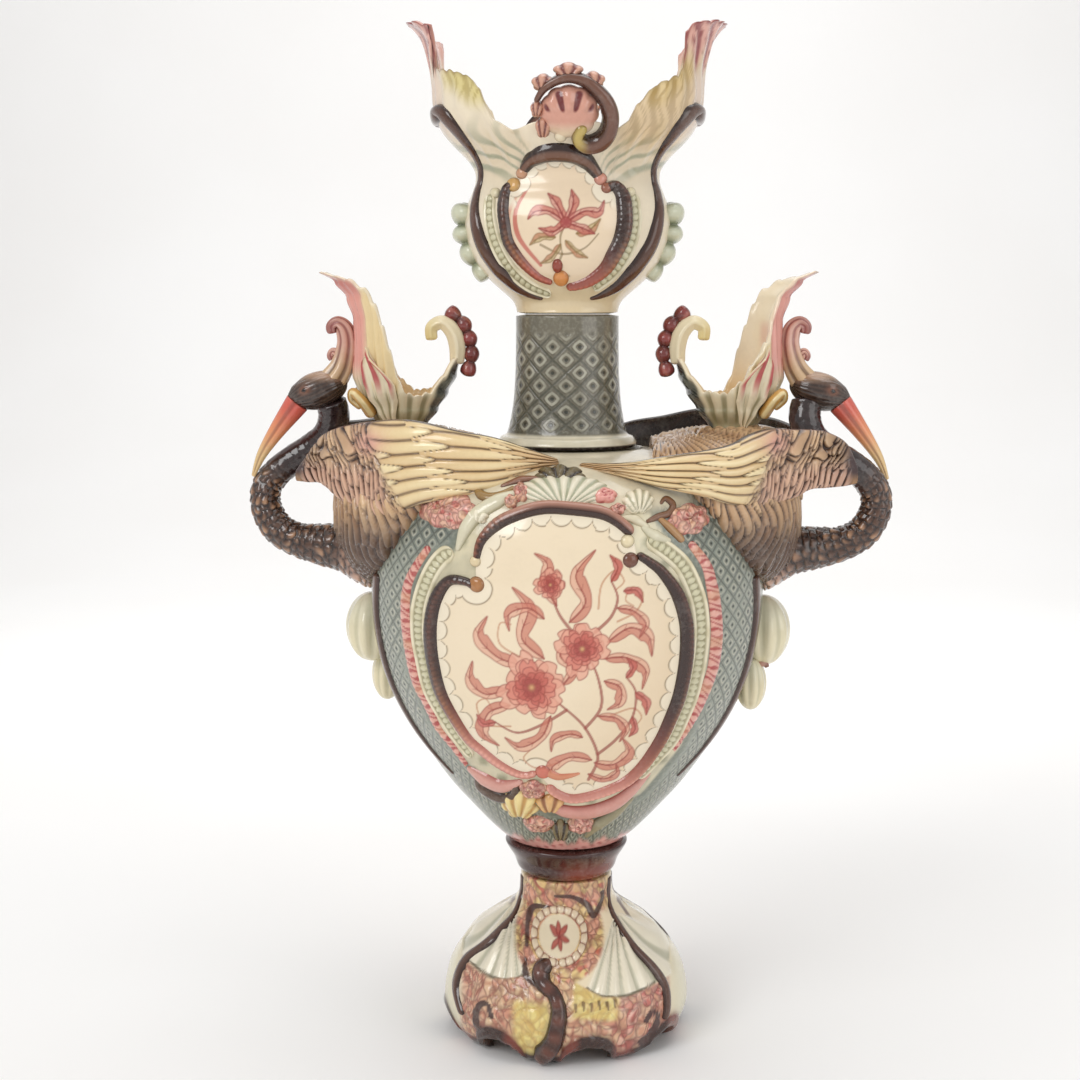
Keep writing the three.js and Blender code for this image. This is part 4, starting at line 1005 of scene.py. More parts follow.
def panel_paint(x, z, off, along):
    """The cream field, its lace edge, and the spray: blooms and buds on bent stems, and curled leaves."""
    brush = Brush(x, z, tint(240, 222, 192))
    brush.wash(tint(224, 192, 152), rises(-30, 90, x - 0.5 * z + 40) * 0.6)
    past_lace = -off - 4 - 5.4 * domed_over((along / 11.5) % 1 * 2 - 1)
    brush.wash(tint(244, 232, 208), (1 - rises(-0.2, 0.3, past_lace)) * 0.8)
    brush.wash(tint(124, 98, 64), hump(past_lace, 0.42) * 0.85)
    # the spray is drawn a little larger than it is painted, and 2 mm lower
    share_wide, share_tall, drawn_middle, painted_middle = 0.86, 0.93, 116, 118
    brush.x, brush.z = x / share_wide, (z - painted_middle) / share_tall + drawn_middle
    for tendril in [[(34, 150), (46, 156), (50, 166), (43, 170), (39, 163), (44, 159)],
                    [(-34, 84), (-50, 84), (-56, 96), (-50, 101), (-46, 95)],
                    [(22, 158), (24, 172), (32, 180), (38, 174), (33, 169)],
                    [(30, 92), (44, 96), (50, 90), (46, 84)],
                    [(-26, 128), (-40, 136), (-40, 148), (-33, 148)],
                    [(-4, 60), (-18, 56), (-26, 62), (-22, 68)]]:
        brush.line(tendril, [0.5, 0.4, 0.3], tint(196, 140, 104), 0.75)
    for stem in [[(16, 48), (22, 64), (14, 84), (0, 98), (-14, 108)],
                 [(14, 84), (24, 98), (22, 116), (14, 134)], [(8, 142), (-2, 154), (-8, 168)],
                 [(22, 66), (34, 76), (44, 90), (46, 106), (40, 116)],
                 [(20, 144), (30, 153), (34, 164), (30, 174)], [(2, 96), (-14, 86), (-30, 80), (-44, 86)]]:
        brush.line(stem, [0.9, 0.75, 0.4], rose_line, 0.8)
    for rib, broad in [
        ([(-28, 124), (-42, 128), (-54, 140), (-48, 152)], 6),
        ([(-12, 128), (-26, 140), (-22, 158), (-32, 170)], 6.5),
        ([(4, 150), (14, 162), (8, 178), (20, 192)], 6), ([(28, 138), (42, 146), (54, 140), (56, 128)], 5.5),
        ([(26, 128), (40, 128), (52, 120), (50, 108)], 4.5),
        ([(-36, 108), (-50, 104), (-60, 112), (-58, 124)], 5.5),
        ([(-34, 98), (-48, 92), (-52, 78), (-42, 70)], 5.5), ([(-8, 92), (-14, 78), (-28, 70), (-38, 76)], 5),
        ([(18, 62), (4, 64), (-8, 56), (-2, 50)], 5), ([(20, 60), (32, 58), (42, 66), (38, 76)], 5),
        ([(22, 92), (34, 90), (40, 82), (36, 74)], 4), ([(0, 112), (6, 122), (-2, 130), (4, 138)], 4.5),
        ([(-12, 152), (-22, 158), (-34, 154), (-34, 144)], 4.5),
        ([(26, 114), (36, 110), (36, 100), (28, 96)], 4.5),
        ([(-4, 160), (-12, 172), (-10, 184), (-18, 190)], 4.5),
        ([(12, 78), (4, 80), (-6, 76), (-8, 68)], 3.6), ([(34, 158), (44, 156), (52, 148), (48, 140)], 3.8),
        ([(16, 52), (26, 48), (34, 52), (34, 58)], 3.4),
    ]:
        leaf(brush, rib, broad)
    for bud, broad in [([(46, 106), (53, 100), (53, 91)], 3.6), ([(30, 174), (34, 182), (29, 189)], 3.4),
                       ([(40, 116), (44, 122), (40, 128)], 3), ([(38, 168), (46, 168), (50, 161)], 3),
                       ([(-44, 86), (-52, 84), (-56, 90)], 3.4), ([(44, 90), (46, 82), (42, 77)], 3)]:
        leaf(brush, bud, broad, tint(204, 106, 98), rose_line, 2, 0.85)
    bloom(brush, 12, 134, 15, 7, 0.2)
    bloom(brush, -8, 172, 8.5, 6, 1.2)
    bloom(brush, -20, 110, 19, 8, 0.5)
    return brush.colour


panel_glaze = fired("panel_glaze", 0.12, 0.035, 0.1)
for face, fine in (("front", 0.56), ("back", 0.92)):
    panel = draped(f"panel_field_{face}", body, ((-0.66, 0.16), (0.62, 0.92)), panel_line, fine, panel_paint)
    if face == "back":
        turn_round(panel)
    set_down(panel, panel_glaze, "cream_glaze")


def flower_relief(light, dark, count):
    """Ruffled petals in rings round a heart."""

    def relief(x, z, share, turn):
        ring = np.cos(share * 11 + 1.3 * np.sin(turn * count) + 0.9 * np.sin(turn * 2 + 5 * x))
        petal = np.cos(turn * count + 3 * np.floor(share * 3) + 2 * z)
        bumps = 0.5 + 0.28 * ring + 0.22 * petal
        out = 1.2 + 2.8 * domed_over(share) * (0.6 + 0.5 * bumps)
        return out, mix(dark, light, rises(0.1, 0.45, bumps + 0.15 * np.sin(9 * x + 7 * z)))

    return relief


def shell_relief(light, dark, flutes, swing=1.4):
    """A fan of flutes from a hinge at the bottom."""

    def relief(x, z, share, turn):
        fan = np.arctan2(x, z + 1.15) * flutes / swing
        flute = np.cos(fan * 2 * np.pi)
        out = 1 + 2.6 * domed_over(share) + 0.7 * flute * (1 - share**4)
        return out, mix(dark, light, rises(-0.9, 0.1, flute))

    return relief


def frilled(count, depth):
    """A scalloped rim."""
    return lambda turn: 1 - depth * (1 - np.abs(np.cos(turn * count / 2)))


# The garland over the frame, a fluted shell between two roses with small shells, blooms and scrolls, and more
# of them under the frame round its keystone, a pink knot. All are pressed in small moulds and luted on.
rose = flower_relief(tint(234, 176, 158), tint(204, 112, 102), 5)
five_lobes = frilled(5, 0.2)
for k, (centre, radii, relief, lobes) in enumerate([
    ((-0.56, 0.876), (19, 11), rose, frilled(9, 0.12)),
    ((0.585, 0.855), (13, 9), rose, frilled(7, 0.14)),
    ((0.0, 0.925), (26, 8.5), shell_relief(tint(234, 226, 202), tint(168, 170, 142), 9), frilled(16, 0.06)),
    ((0.345, 0.9), (9.5, 7), shell_relief(tint(238, 228, 202), tint(176, 170, 140), 5), frilled(9, 0.12)),
    ((-0.2, 0.92), (5, 5.6), rose, five_lobes),
    ((-0.245, 0.9), (4.4, 4), rose, five_lobes),
    ((0.19, 0.914), (7.5, 4.2), flower_relief(tint(230, 162, 150), tint(180, 78, 80), 3), frilled(5, 0.15)),
    ((-0.22, 0.148), (12, 11), shell_relief(tint(238, 216, 150), tint(196, 150, 84), 4), frilled(7, 0.2)),
    ((-0.07, 0.16), (9, 7), shell_relief(tint(222, 176, 116), tint(150, 96, 56), 3), five_lobes),
    ((-0.13, 0.093), (10, 6.5), rose, five_lobes),
    ((0.08, 0.094), (9, 7), rose, frilled(6, 0.2)),
    ((-0.02, 0.075), (6, 9), shell_relief(tint(120, 104, 66), tint(48, 36, 24), 3), five_lobes),
    ((-0.02, 0.958), (15, 4.4), shell_relief(tint(110, 96, 66), tint(44, 34, 26), 4), frilled(7, 0.2)),
    ((0.25, 0.885), (5, 3.4), rose, five_lobes),
    ((-0.4, 0.865), (6.5, 4.2), shell_relief(tint(240, 232, 208), tint(190, 180, 150), 3), five_lobes),
]):
    boss = domed(f"garland_{k}_front", body, centre, radii, relief, lobes)
    glaze = floret_glaze if relief is rose else pale_glaze
    on_both_faces(boss, glaze, "pink_glaze", None if k else "panel_garland")
scrolls("garland_scroll", 0.8, 0.2, [
    (tint(176, 172, 140), tint(236, 228, 202), [1.4, 4, 4.4, 4, 1.6],
     [(-0.5, 0.785), (-0.46, 0.835), (-0.4, 0.872), (-0.31, 0.9), (-0.21, 0.922)]),
    (tint(176, 172, 140), tint(236, 228, 202), [1.4, 3.6, 1.4], [(0.36, 0.848), (0.42, 0.825), (0.5, 0.81)]),
    (tint(84, 56, 34), tint(176, 140, 80), [1.4, 3, 2.6, 2, 1.2],
     [(-0.42, 0.938), (-0.4, 0.915), (-0.35, 0.908), (-0.29, 0.915), (-0.23, 0.932)]),
    (tint(62, 38, 28), tint(140, 94, 62), [1, 1.8, 2.2, 2.2, 2, 1],
     [(0.45, 0.892), (0.475, 0.904), (0.51, 0.889), (0.49, 0.872), (0.44, 0.866), (0.38, 0.855)]),
    (tint(110, 72, 44), tint(196, 150, 96), [1.2, 2.6, 2], [(0.43, 0.868), (0.5, 0.838), (0.56, 0.806)]),
    (tint(180, 168, 134), tint(238, 228, 200), [1, 3, 1.2], [(0.26, 0.868), (0.33, 0.862), (0.4, 0.84)]),
    (tint(60, 36, 30), tint(160, 110, 84), [0.8, 2, 0.8], [(-0.3, 0.932), (-0.2, 0.948), (-0.1, 0.952)]),
])
knot = domed("panel_keystone_front_glazed", body, (-0.15, 0.2), (9, 7), rose, five_lobes)
on_both_faces(knot, floret_glaze, "pink_glaze", "panel_keystone")

# The neck, a straight turned tube of clay with the same pressed diaper, and a cream lip over a dark step at
# its foot. Its ends go down into the body and up into the crown.
neck = Form(
    [(0.97, 0), (1, 0.03), (0.95, 0.075), (0.87, 0.1), (0.82, 0.19), (0.775, 0.33), (0.745, 0.54),
     (0.735, 0.8), (0.735, 1)],
    half_width=41, height=77, base=355.9,
)
throat_radius = 24.5


def neck_shape(u, v):
    """Up the outside and back down the bore, so that the tube is closed on itself."""
    outside, t = there_and_back(v, 0.9)
    points = neck.skin(u * 2 * np.pi, t, 0)
    radius = np.hypot(points[:, 0], points[:, 1])
    bore = np.where(outside, 1, np.minimum(throat_radius / np.maximum(radius, 1), 1))
    seam_row = (v >= 1 - 1e-9) | (v <= 1e-9)
    points[:, :2] *= np.where(seam_row, throat_radius / radius, bore)[:, None]
    level = points[:, 2] - neck.base
    colour = mix(tint(98, 94, 80), tint(118, 112, 96), rises(5, 60, level))
    colour = mix(colour, tint(230, 220, 194), between(1.6, 2.4, 7, 9, level))
    colour = mix(colour, tint(66, 50, 46), 1 - rises(1.4, 2.2, level))
    diaper = between(9, 12, 62, 68, level) * outside
    return points, np.concatenate([colour, diaper[:, None]], 1)


neck_glaze = pressed("neck_diaper_glaze", 12, 14.8)
set_down(wrapped("neck_casting", 144, 90, neck_shape), neck_glaze, "grey_green_glaze", "vase_neck")

# The crown, a flaring vase cast in one with its two horns: cream below, pale green flutes on its flanks,
# yellow-green leaves on the shoulders of the rim, and pink tips streaked with red.
crown = Form(
    [(0.31, 0), (0.318, 0.025), (0.345, 0.05), (0.425, 0.09), (0.5, 0.13), (0.56, 0.175), (0.602, 0.225),
     (0.63, 0.298), (0.621, 0.357), (0.589, 0.405), (0.563, 0.446), (0.568, 0.488), (0.621, 0.53),
     (0.695, 0.571), (0.758, 0.613), (0.8, 0.661), (0.816, 0.714), (0.821, 0.774), (0.838, 0.839),
     (0.88, 0.92), (0.94, 0.965), (1.04, 1)],
    half_width=95, height=168, base=433.2, depth_share=0.8,
)
crown_wall, crown_floor = 4.6, 9.3
crown_rim = [(-90, 0.985), (-82, 0.975), (-75, 0.955), (-73, 0.88), (-71, 0.825), (-66, 0.815), (-56, 0.805),
             (-47, 0.787), (-41, 0.765), (-38, 0.735), (-36, 0.69), (-33, 0.63), (-25, 0.597), (-12, 0.62),
             (0, 0.64), (12, 0.62), (24, 0.6), (28, 0.62), (31, 0.68), (36, 0.725), (42, 0.755), (52, 0.78),
             (55, 0.805), (57, 0.87), (59, 0.93), (66, 0.955), (80, 0.972), (90, 0.976)]


def read_along(pairs, key):
    """A value read between pairs, eased at each."""
    keys, values = np.array(pairs, float).T
    i = np.clip(np.searchsorted(keys, key, side="right") - 1, 0, len(keys) - 2)
    return values[i] + (values[i + 1] - values[i]) * rises(keys[i], keys[i + 1], key)


def crown_shape(u, v):
    angle = u * 2 * np.pi
    turn = np.degrees(np.arcsin(np.clip(np.sin(angle), -1, 1)))
    rim = read_along(crown_rim, turn)
    horn = rises(0.78, 0.86, rim)
    frill = np.abs(np.cos(np.radians(turn * 29))) ** 0.6
    rim = rim - 0.012 * (1 - frill) * rises(0.66, 0.72, rim)
    rim_row, inner_rows = 0.78, 0.22
    outside = v < rim_row
    t = crown.along(rim) * np.where(outside, v / rim_row, 1 - (v - rim_row) / inner_rows)
    level = np.interp(t, crown.shares, crown.levels) / crown.height
    # a horn is a blade: narrow at its root, broader above, with notches down its front edge
    off_horn = np.where(turn < 0, turn + 90, turn - 90)
    share = np.clip(off_horn / np.where(off_horn > 0, 18, 34), -1, 1)
    notch = 1 + 0.2 * np.sin(level * 190) * np.abs(share) ** 6
    lean = rises(0.81, 0.95, level) * share * np.where(off_horn > 0, 13, 8) * notch
    angle = angle + np.radians(lean) * np.where(np.cos(angle) < 0, -1, 1)
    side = np.abs(turn)
    flute = np.cos(np.radians(turn * 22)) * between(14, 22, 46, 58, side)
    flute = flute * between(0.44, 0.5, 0.62, 0.7, level)
    vein = np.cos(np.radians(turn * 34) + level * 16 + np.sin(level * 40) * 0.8)
    raised = vein * rises(0.62, 0.72, level)
    out = np.where(outside, flute + raised * 0.55, -crown_wall + raised * 0.3)
    # the wall thins to two fifths at the rim
    points = crown.skin(angle, t, out * (rises(0, 0.03, np.abs(v - rim_row)) * 0.6 + 0.4))
    radius = np.maximum(np.hypot(points[:, 0], points[:, 1]), 1)
    throat = np.where(outside, 1 - rises(0, 0.012, v), rises(0.985, 1, v))
    points[:, :2] *= (1 + (throat_radius / radius - 1) * throat)[:, None]
    floor = crown.base + crown_floor * (1 - rises(0.985, 1, v))
    points[:, 2] = np.where(outside, points[:, 2], np.maximum(points[:, 2], floor))
    colour = mix(tint(226, 206, 168), tint(242, 228, 202), rises(0.05, 0.2, level))
    # green rays on the flanks, then the lemon leaf, the warm shoulder and the pale root of the horn
    flank = between(0.38, 0.5, 0.52, 0.68, level) * rises(14, 30, side)
    colour = mix(colour, tint(224, 206, 176), flank * 0.8)
    rays = np.cos(np.arctan2(side - 20, (level - 0.42) * 130) * 17 + 3 * np.sin(level * 30))
    colour = mix(colour, tint(138, 148, 122), flank * rises(0, 0.9, rays) * 0.75)
    leaf_foot = rises(0.64, 0.72, level - 0.07 * rises(40, 60, side))
    lemon_leaf = leaf_foot * (1 - rises(0.8, 0.85, level)) * between(33, 38, 56, 68, side)
    colour = mix(colour, tint(222, 206, 142), lemon_leaf)
    ripple = rises(0.3, 0.9, np.cos(turn * 1.3 + 3 * np.sin(level * 48)))
    crease = np.clip(rises(0.3, 0.9, -vein) + ripple, 0, 1)
    colour = mix(colour, tint(172, 148, 78), lemon_leaf * crease * 0.6)
    warm = between(0.5, 0.6, 0.84, 0.9, level) * between(20, 30, 66, 76, turn)
    fold = np.clip(rises(0.1, 0.9, -vein) + ripple, 0, 1)
    colour = mix(colour, mix(tint(222, 188, 134), tint(180, 142, 82), fold), warm * 0.65)
    pale_root = between(0.55, 0.65, 0.76, 0.84, level) * rises(60, 72, side)
    colour = mix(colour, tint(236, 214, 196), pale_root * 0.9)
    # the pink tips with their red streaks, and the dark line along the rim
    tip = horn * rises(0.8, 0.88, level + 0.03 * np.sin(turn * 0.5))
    colour = mix(colour, tint(230, 172, 156), tip)
    blotch = np.sin(turn * 0.9 + level * 55) * np.sin(level * 90 - turn * 0.4) + 0.7 * np.abs(share) ** 4
    colour = mix(colour, tint(142, 48, 48), tip * rises(0.35, 0.8, blotch) * 0.85)
    colour = mix(colour, tint(146, 60, 62), tip * rises(0.15, 0.85, -vein) * 0.9)
    edge = hump(rim - level, 0.009) * rises(0.64, 0.7, rim)
    colour = mix(colour, mix(tint(136, 112, 60), tint(150, 64, 62), horn), edge * 0.8)
    inner = mix(tint(238, 222, 190), tint(226, 166, 150), tip)
    inner = mix(inner, tint(146, 60, 62), tip * rises(0.5, 1, -vein) * 0.7)
    return points, mix(inner, colour, outside)


set_down(wrapped("crown_casting", 352, 184, crown_shape), pale_glaze, "cream_glaze", "crown_vase")


def field_paint(x, z, off, along):
    """The cream field of the oval: a few scallops under its arch, and a small flower with olive leaves."""
    brush = Brush(x, z, tint(236, 214, 184))
    for moulding, pigment in [([(-22, 68), (-28, 56), (-26, 42), (-14, 27)], tint(196, 104, 88)),
                              ([(-27, 66), (-32, 54), (-29, 38), (-16, 23)], tint(222, 170, 142))]:
        brush.line(moulding, [0.6, 1.2, 0.7], pigment, 0.9)
    high = rises(56, 62, z)
    past_lace = -off - 3.2 - 4.2 * domed_over((along / 9) % 1 * 2 - 1)
    brush.wash(tint(244, 234, 212), (1 - rises(-0.2, 0.3, past_lace)) * high * 0.8)
    brush.wash(tint(136, 108, 72), hump(past_lace, 0.35) * high * 0.7)
    for stem in [[(-14, 38), (-2, 33), (10, 36), (18, 44)], [(-2, 33), (-4, 26), (2, 21)],
                 [(0, 50), (-3, 42), (-2, 33)]]:
        brush.line(stem, [0.5, 0.4, 0.2], tint(128, 104, 62), 0.7)
    for rib, broad in [([(-6, 42), (-14, 42), (-20, 38)], 2.8), ([(6, 44), (13, 46), (19, 52)], 2.8),
                       ([(0, 40), (6, 34), (12, 31)], 2.4), ([(-3, 38), (-8, 31), (-14, 28)], 2.4)]:
        leaf(brush, rib, broad, tint(190, 170, 110), tint(140, 110, 60), 3, 0.6)
    for rib, broad in [([(0, 50), (-9, 56), (-17, 56), (-21, 52)], 3.4),
                       ([(0, 50), (-5, 60), (-10, 66)], 3.2), ([(0, 50), (4, 60), (3, 68)], 3.4),
                       ([(0, 50), (10, 56), (18, 56), (21, 62)], 3.4), ([(0, 50), (9, 47), (16, 44)], 3.2),
                       ([(0, 50), (-7, 45), (-15, 47)], 3.2)]:
        leaf(brush, rib, broad, tint(216, 140, 128), tint(142, 48, 46), 3, 0.7)
    heart = [(3 * math.sin(a), 50 + 3 * math.cos(a)) for a in np.arange(0, 6.2, 1)]
    brush.area(heart, tint(172, 78, 74), 0.8, 0.6, rose_line)
    return brush.colour


oval_arch = [(-0.26, 0.462), (-0.21, 0.5), (-0.13, 0.52), (-0.04, 0.524), (0.05, 0.517), (0.12, 0.497),
             (0.17, 0.465), (0.2, 0.44)]
oval_left = [(-0.3, 0.412), (-0.335, 0.42), (-0.36, 0.395), (-0.37, 0.345), (-0.36, 0.295), (-0.34, 0.24),
             (-0.29, 0.194), (-0.23, 0.155), (-0.16, 0.122), (-0.08, 0.103)]
oval_right = [(0.23, 0.405), (0.28, 0.42), (0.325, 0.39), (0.34, 0.343), (0.34, 0.293), (0.32, 0.243),
              (0.28, 0.197), (0.23, 0.151), (0.14, 0.111), (0.06, 0.094), (0, 0.09)]
oval_line = oval_arch + oval_right + oval_left[::-1]
field = draped("crown_field_front", crown, ((-0.41, 0.06), (0.39, 0.55)), oval_line, 0.48, field_paint)
on_both_faces(field, panel_glaze, "cream_glaze")


def oval_roll(side, along, v, half):
    return frame_roll(side, along, v, half, tint(104, 36, 32), tint(190, 104, 84))


arch_relief = clay_roll(tint(42, 21, 15), tint(132, 88, 64), 0, 0.8, 0.8)
for name, path, width, relief, node in [
    ("crown_oval_frame_front_glazed", oval_arch, [3, 5, 5.2, 5, 3], arch_relief, "crown_oval_frame"),
    ("oval_scroll_left_front", oval_left, [2.6, 3.6, 3.6, 3.4, 2.6, 1.8], oval_roll, None),
    ("oval_scroll_right_front", oval_right, [2.8, 4.8, 5, 4.6, 3.4, 2.2], oval_roll, None),
]:
    on_both_faces(banded(name, crown, path, width, relief, 0.7), brown_glaze, "brown_glaze", node)
for name, path in [
    ("left", [(-0.45, 0.395), (-0.455, 0.33), (-0.43, 0.255), (-0.38, 0.19), (-0.31, 0.135), (-0.21, 0.09),
              (-0.09, 0.064)]),
    ("right", [(0.39, 0.395), (0.405, 0.31), (0.38, 0.235), (0.33, 0.175), (0.26, 0.127), (0.16, 0.083)]),
]:
    band = banded(f"crown_bead_band_{name}_front", crown, path, [3.6, 4.2, 4.2, 3.8, 2.8], beaded, 0.6)
    on_both_faces(band, pale_glaze, "cream_glaze")
knobs("crown_knob", crown, [
    (-0.31, 0.425, 4.6, 4.6, tint(206, 160, 92)), (-0.26, 0.462, 3.8, 3.8, tint(196, 146, 112)),
    (0.2, 0.442, 4.2, 4.2, tint(206, 140, 120)), (0.235, 0.412, 3.6, 3.6, tint(150, 90, 66)),
    (-0.03, 0.118, 5, 5, tint(216, 142, 76)), (-0.05, 0.158, 3.4, 4.4, tint(150, 66, 50)),
    (-0.42, 0.4, 3.4, 3.4, tint(226, 214, 180)), (0.375, 0.4, 3.2, 3.2, tint(226, 214, 180)),
])

crown_rib = np.array([
    (0.14, 0.05), (0.2, 0.06), (0.3, 0.091), (0.38, 0.134), (0.44, 0.175), (0.5, 0.23), (0.535, 0.29),
    (0.55, 0.35), (0.54, 0.405), (0.52, 0.45), (0.52, 0.49), (0.555, 0.535), (0.62, 0.585), (0.69, 0.635),
    (0.745, 0.672), (0.79, 0.678), (0.785, 0.64),
])
crown_rib_width = [1, 2.6, 3.8, 4, 3.6, 2.6, 1.8, 1.8, 2.6, 3.6, 3.8]
four_ribs("crown_rib", crown, crown_rib, crown_rib * [-1, 1], crown_rib_width)

# The crest, a pink shell in a dark scroll, with three leaf lobes over it and two beside it. Each is pressed
# clay in pink or brown glaze, luted to the middle of the rim.


def crest_shell(x, z, share, turn):
    """Five dark flutes over a smooth pink hinge that pales towards the bottom."""
    fan = np.arctan2(x, z + 0.75)
    flute = np.cos(fan * 14) * rises(-0.05, 0.2, z) * (1 - rises(0.72, 0.92, share))
    colour = mix(tint(238, 216, 186), tint(214, 156, 136), rises(-0.7, -0.2, z))
    colour = mix(colour, tint(112, 44, 44), rises(0.1, 0.7, -flute))
    colour = mix(colour, tint(160, 84, 76), rises(0.85, 1, share) * 0.6)
    return 1.4 + 3 * domed_over(share) + 0.8 * flute, colour


crest_edge = frilled(11, 0.05)
hub = domed("crown_crest_front_glazed", crown, (0.02, 0.645), (17, 14.5), crest_shell, crest_edge, 3, 0.65)
on_both_faces(hub, pink_glaze, "pink_glaze", "crown_crest")
crest_path = [(-0.17, 0.677), (-0.12, 0.717), (-0.04, 0.743), (0.04, 0.749), (0.12, 0.736), (0.18, 0.71),
              (0.23, 0.677), (0.255, 0.635), (0.24, 0.592), (0.19, 0.562), (0.12, 0.552), (0.07, 0.57),
              (0.08, 0.595), (0.12, 0.602)]


def crest_roll(side, along, v, half):
    top = domed_over(side)
    dark = mix(tint(46, 25, 18), tint(120, 96, 48), rises(0.85, 0.95, v))
    light = mix(tint(112, 74, 58), tint(196, 172, 96), rises(0.82, 0.92, v))
    # the roll's crown is lighter, a painted highlight; towards the curled end both tones turn olive and
    # yellow
    return half * top + 2.2, mix(dark, light, rises(0.6, 1, top))


crest_width = [1.6, 2.6, 3.2, 4, 4.8, 4.8, 4.4, 3.4]
scroll = banded("crest_scroll_front", crown, crest_path, crest_width, crest_roll, 0.7)
on_both_faces(scroll, brown_glaze, "brown_glaze")
lobe = shell_relief(tint(206, 152, 128), tint(122, 64, 56), 3)
for k, (across, up, wide, tall) in enumerate([
    (-0.13, 0.735, 7, 5), (0.015, 0.77, 9, 4.6), (0.16, 0.742, 7, 5), (-0.13, 0.6, 5, 6),
    (-0.165, 0.655, 4, 5),
]):
    boss = domed(f"crest_lobe_{k}_front", crown, (across, up), (wide, tall), lobe, frilled(5, 0.16), 3)
    on_both_faces(boss, pink_glaze, "pink_glaze")
pearl = domed("crest_pearl_front", crown, (-0.03, 0.575), (4, 3.6), ball(tint(234, 220, 190), 0.7))
on_both_faces(pearl, pale_glaze, "cream_glaze")

# The beading on each flank of the crown, a rising string of knobs in pale green glaze, shaped from one roll
# of clay and luted on.
string = [crown.at(math.pi / 2, crown.along(up)) for up in (0.12, 0.18, 0.25, 0.31, 0.38)]


def knob_string(u, v, along):
    knob = np.abs(np.sin(v * np.pi * 4 + 0.3)) ** 0.7
    tip = rises(0.3, 1, knob)
    # pale green, lighter where each knob swells and darker in the hollows between, painted light and shade
    return knob * (2.4 + 3 * v), mix(tint(150, 156, 128), tint(212, 214, 188), tip)


beading_radii = [3, 3.4, 3.6, 4]
beading = rolled("crown_beading_right_glazed", string, beading_radii, 110, 36, 1.5, cap=0.06,
                 paint=knob_string)
beading_nodes = ("crown_beading_right", "crown_beading_left")
in_pair(beading, "crown_beading_left_glazed", pale_glaze, "cream_glaze", *beading_nodes)

# The two handles are cranes, each pressed in several moulds and luted at the shoulder: a breast with its
# long looped neck, a head, a beak, two wings thrown back along the vase, and a leaf cup on the bird's back.


def plumage(along, across, long, wide, overlap=1.5, ragged=0.3, point=0.5):
    """Overlapping feathers in ragged rows: how proud each point stands, how near it lies under the edge of
    the feather above, each feather's own tone, and its quill."""
    across = across + 0.22 * wide * np.sin(along * 2.4 / long + across * 0.5 / wide)
    row = np.floor(along / long)

    def tongue(k):
        place = across / wide + 0.5 * (k % 2)
        b = place % 1 - 0.5
        tone = np.sin(k * 12.9898 + np.floor(place) * 78.233) * 43758.5453
        tone = tone - np.floor(tone)
        a = (along - k * long) / (long * overlap)
        tip = 1 - point + point * domed_over(2 * b) + (tone - 0.6) * ragged
        return a, b, tip - a, tone

    above, below = tongue(row - 1), tongue(row)
    covered = above[2] > 0
    a, b, left, tone = [np.where(covered, one, two) for one, two in zip(above, below)]
    rim = np.where(covered, above[2], 1) * long * overlap
    under = np.where(covered, np.exp(-rim / 0.6), np.exp(above[2] * long * overlap / 1.3))
    seam = rises(0.5 - 0.85 / wide, 0.5, np.abs(b))
    proud = (0.3 + 0.7 * a) * (1 - 3 * b * b) * (1 - under * 0.8) * rises(0, 1.6, rim)
    return proud, np.maximum(under, seam * 0.85), tone, hump(b * wide, 0.35)


shoulder_level = 325.6


def bird_at(out, back, up):
    """A place told from the body's edge, its middle plane and its shoulder."""
    out, up = np.asarray(out, float), np.asarray(up, float)
    return np.stack(np.broadcast_arrays(body.half_width + out, back, shoulder_level + up), -1)


def on_both_birds(piece, material, slot, name, other=None):
    """Seats a piece of the right bird, and its twin on the left bird."""
    twin = f"left_bird_{other or name}"
    in_pair(piece, twin + "_glazed", material, slot, f"right_bird_{name}", twin)


# the colour of painted shadow under feather edges and in their seams, also used thinly for quill lines
feather_shadow_and_quill = tint(60, 38, 33)
# along the torso: how far out, half its breadth, half its height, and the level of its middle
torso_lines = np.array([
    (20, 8, 12, -3), (17, 25, 26, -3), (8, 43, 40, -3), (-6, 56, 46, -4), (-21, 63, 42, 0), (-36, 64, 34, 7),
    (-52, 60, 24, 14), (-68, 48, 12, 22),
])


def torso_shape(u, v):
    """Long strip feathers that hang from the shoulder down over the breast."""
    line = spline(torso_lines, v)
    angle = u * 2 * np.pi
    close = np.sqrt(from_ends(v, 0.02))
    level = line[:, 3] + line[:, 2] * np.sin(angle)
    across = np.arctan2(line[:, 1] * np.cos(angle), line[:, 0] + 62) * 58
    down = 60 - level + 3 * np.sin(across * 0.2)
    across = across + 2 * np.sin(level * 0.15)
    proud, under, tone, quill = plumage(down, across, 17, 4.2, 1.4, 0.8, 0.8)
    swell = proud * 2.2 - under * 1.3
    broad, tall = (line[:, 1] + swell) * close, (line[:, 2] + swell) * close
    points = bird_at(line[:, 0] + swell * (1 - v), broad * np.cos(angle), line[:, 3] + tall * np.sin(angle))
    # each feather's own tone, lighter where it is raised as a painted highlight, then darker towards the
    # bottom of the breast
    colour = mix(tint(172, 128, 92), tint(226, 188, 144), 0.5 * tone + 0.5 * proud)
    colour = mix(colour, tint(72, 46, 34), rises(6, -26, level) * 0.9)
    # painted shadow under the edge of each feather and in the seams between them, with a faint quill line
    return points, mix(colour, feather_shadow_and_quill, np.clip(under * 1.15 + quill * 0.1, 0, 1))


feather_glaze = fired("feather_glaze", 0.15, 0.08)
torso = wrapped("right_bird_torso_glazed", 172, 150, torso_shape)
on_both_birds(torso, feather_glaze, "feather_glaze", "torso")

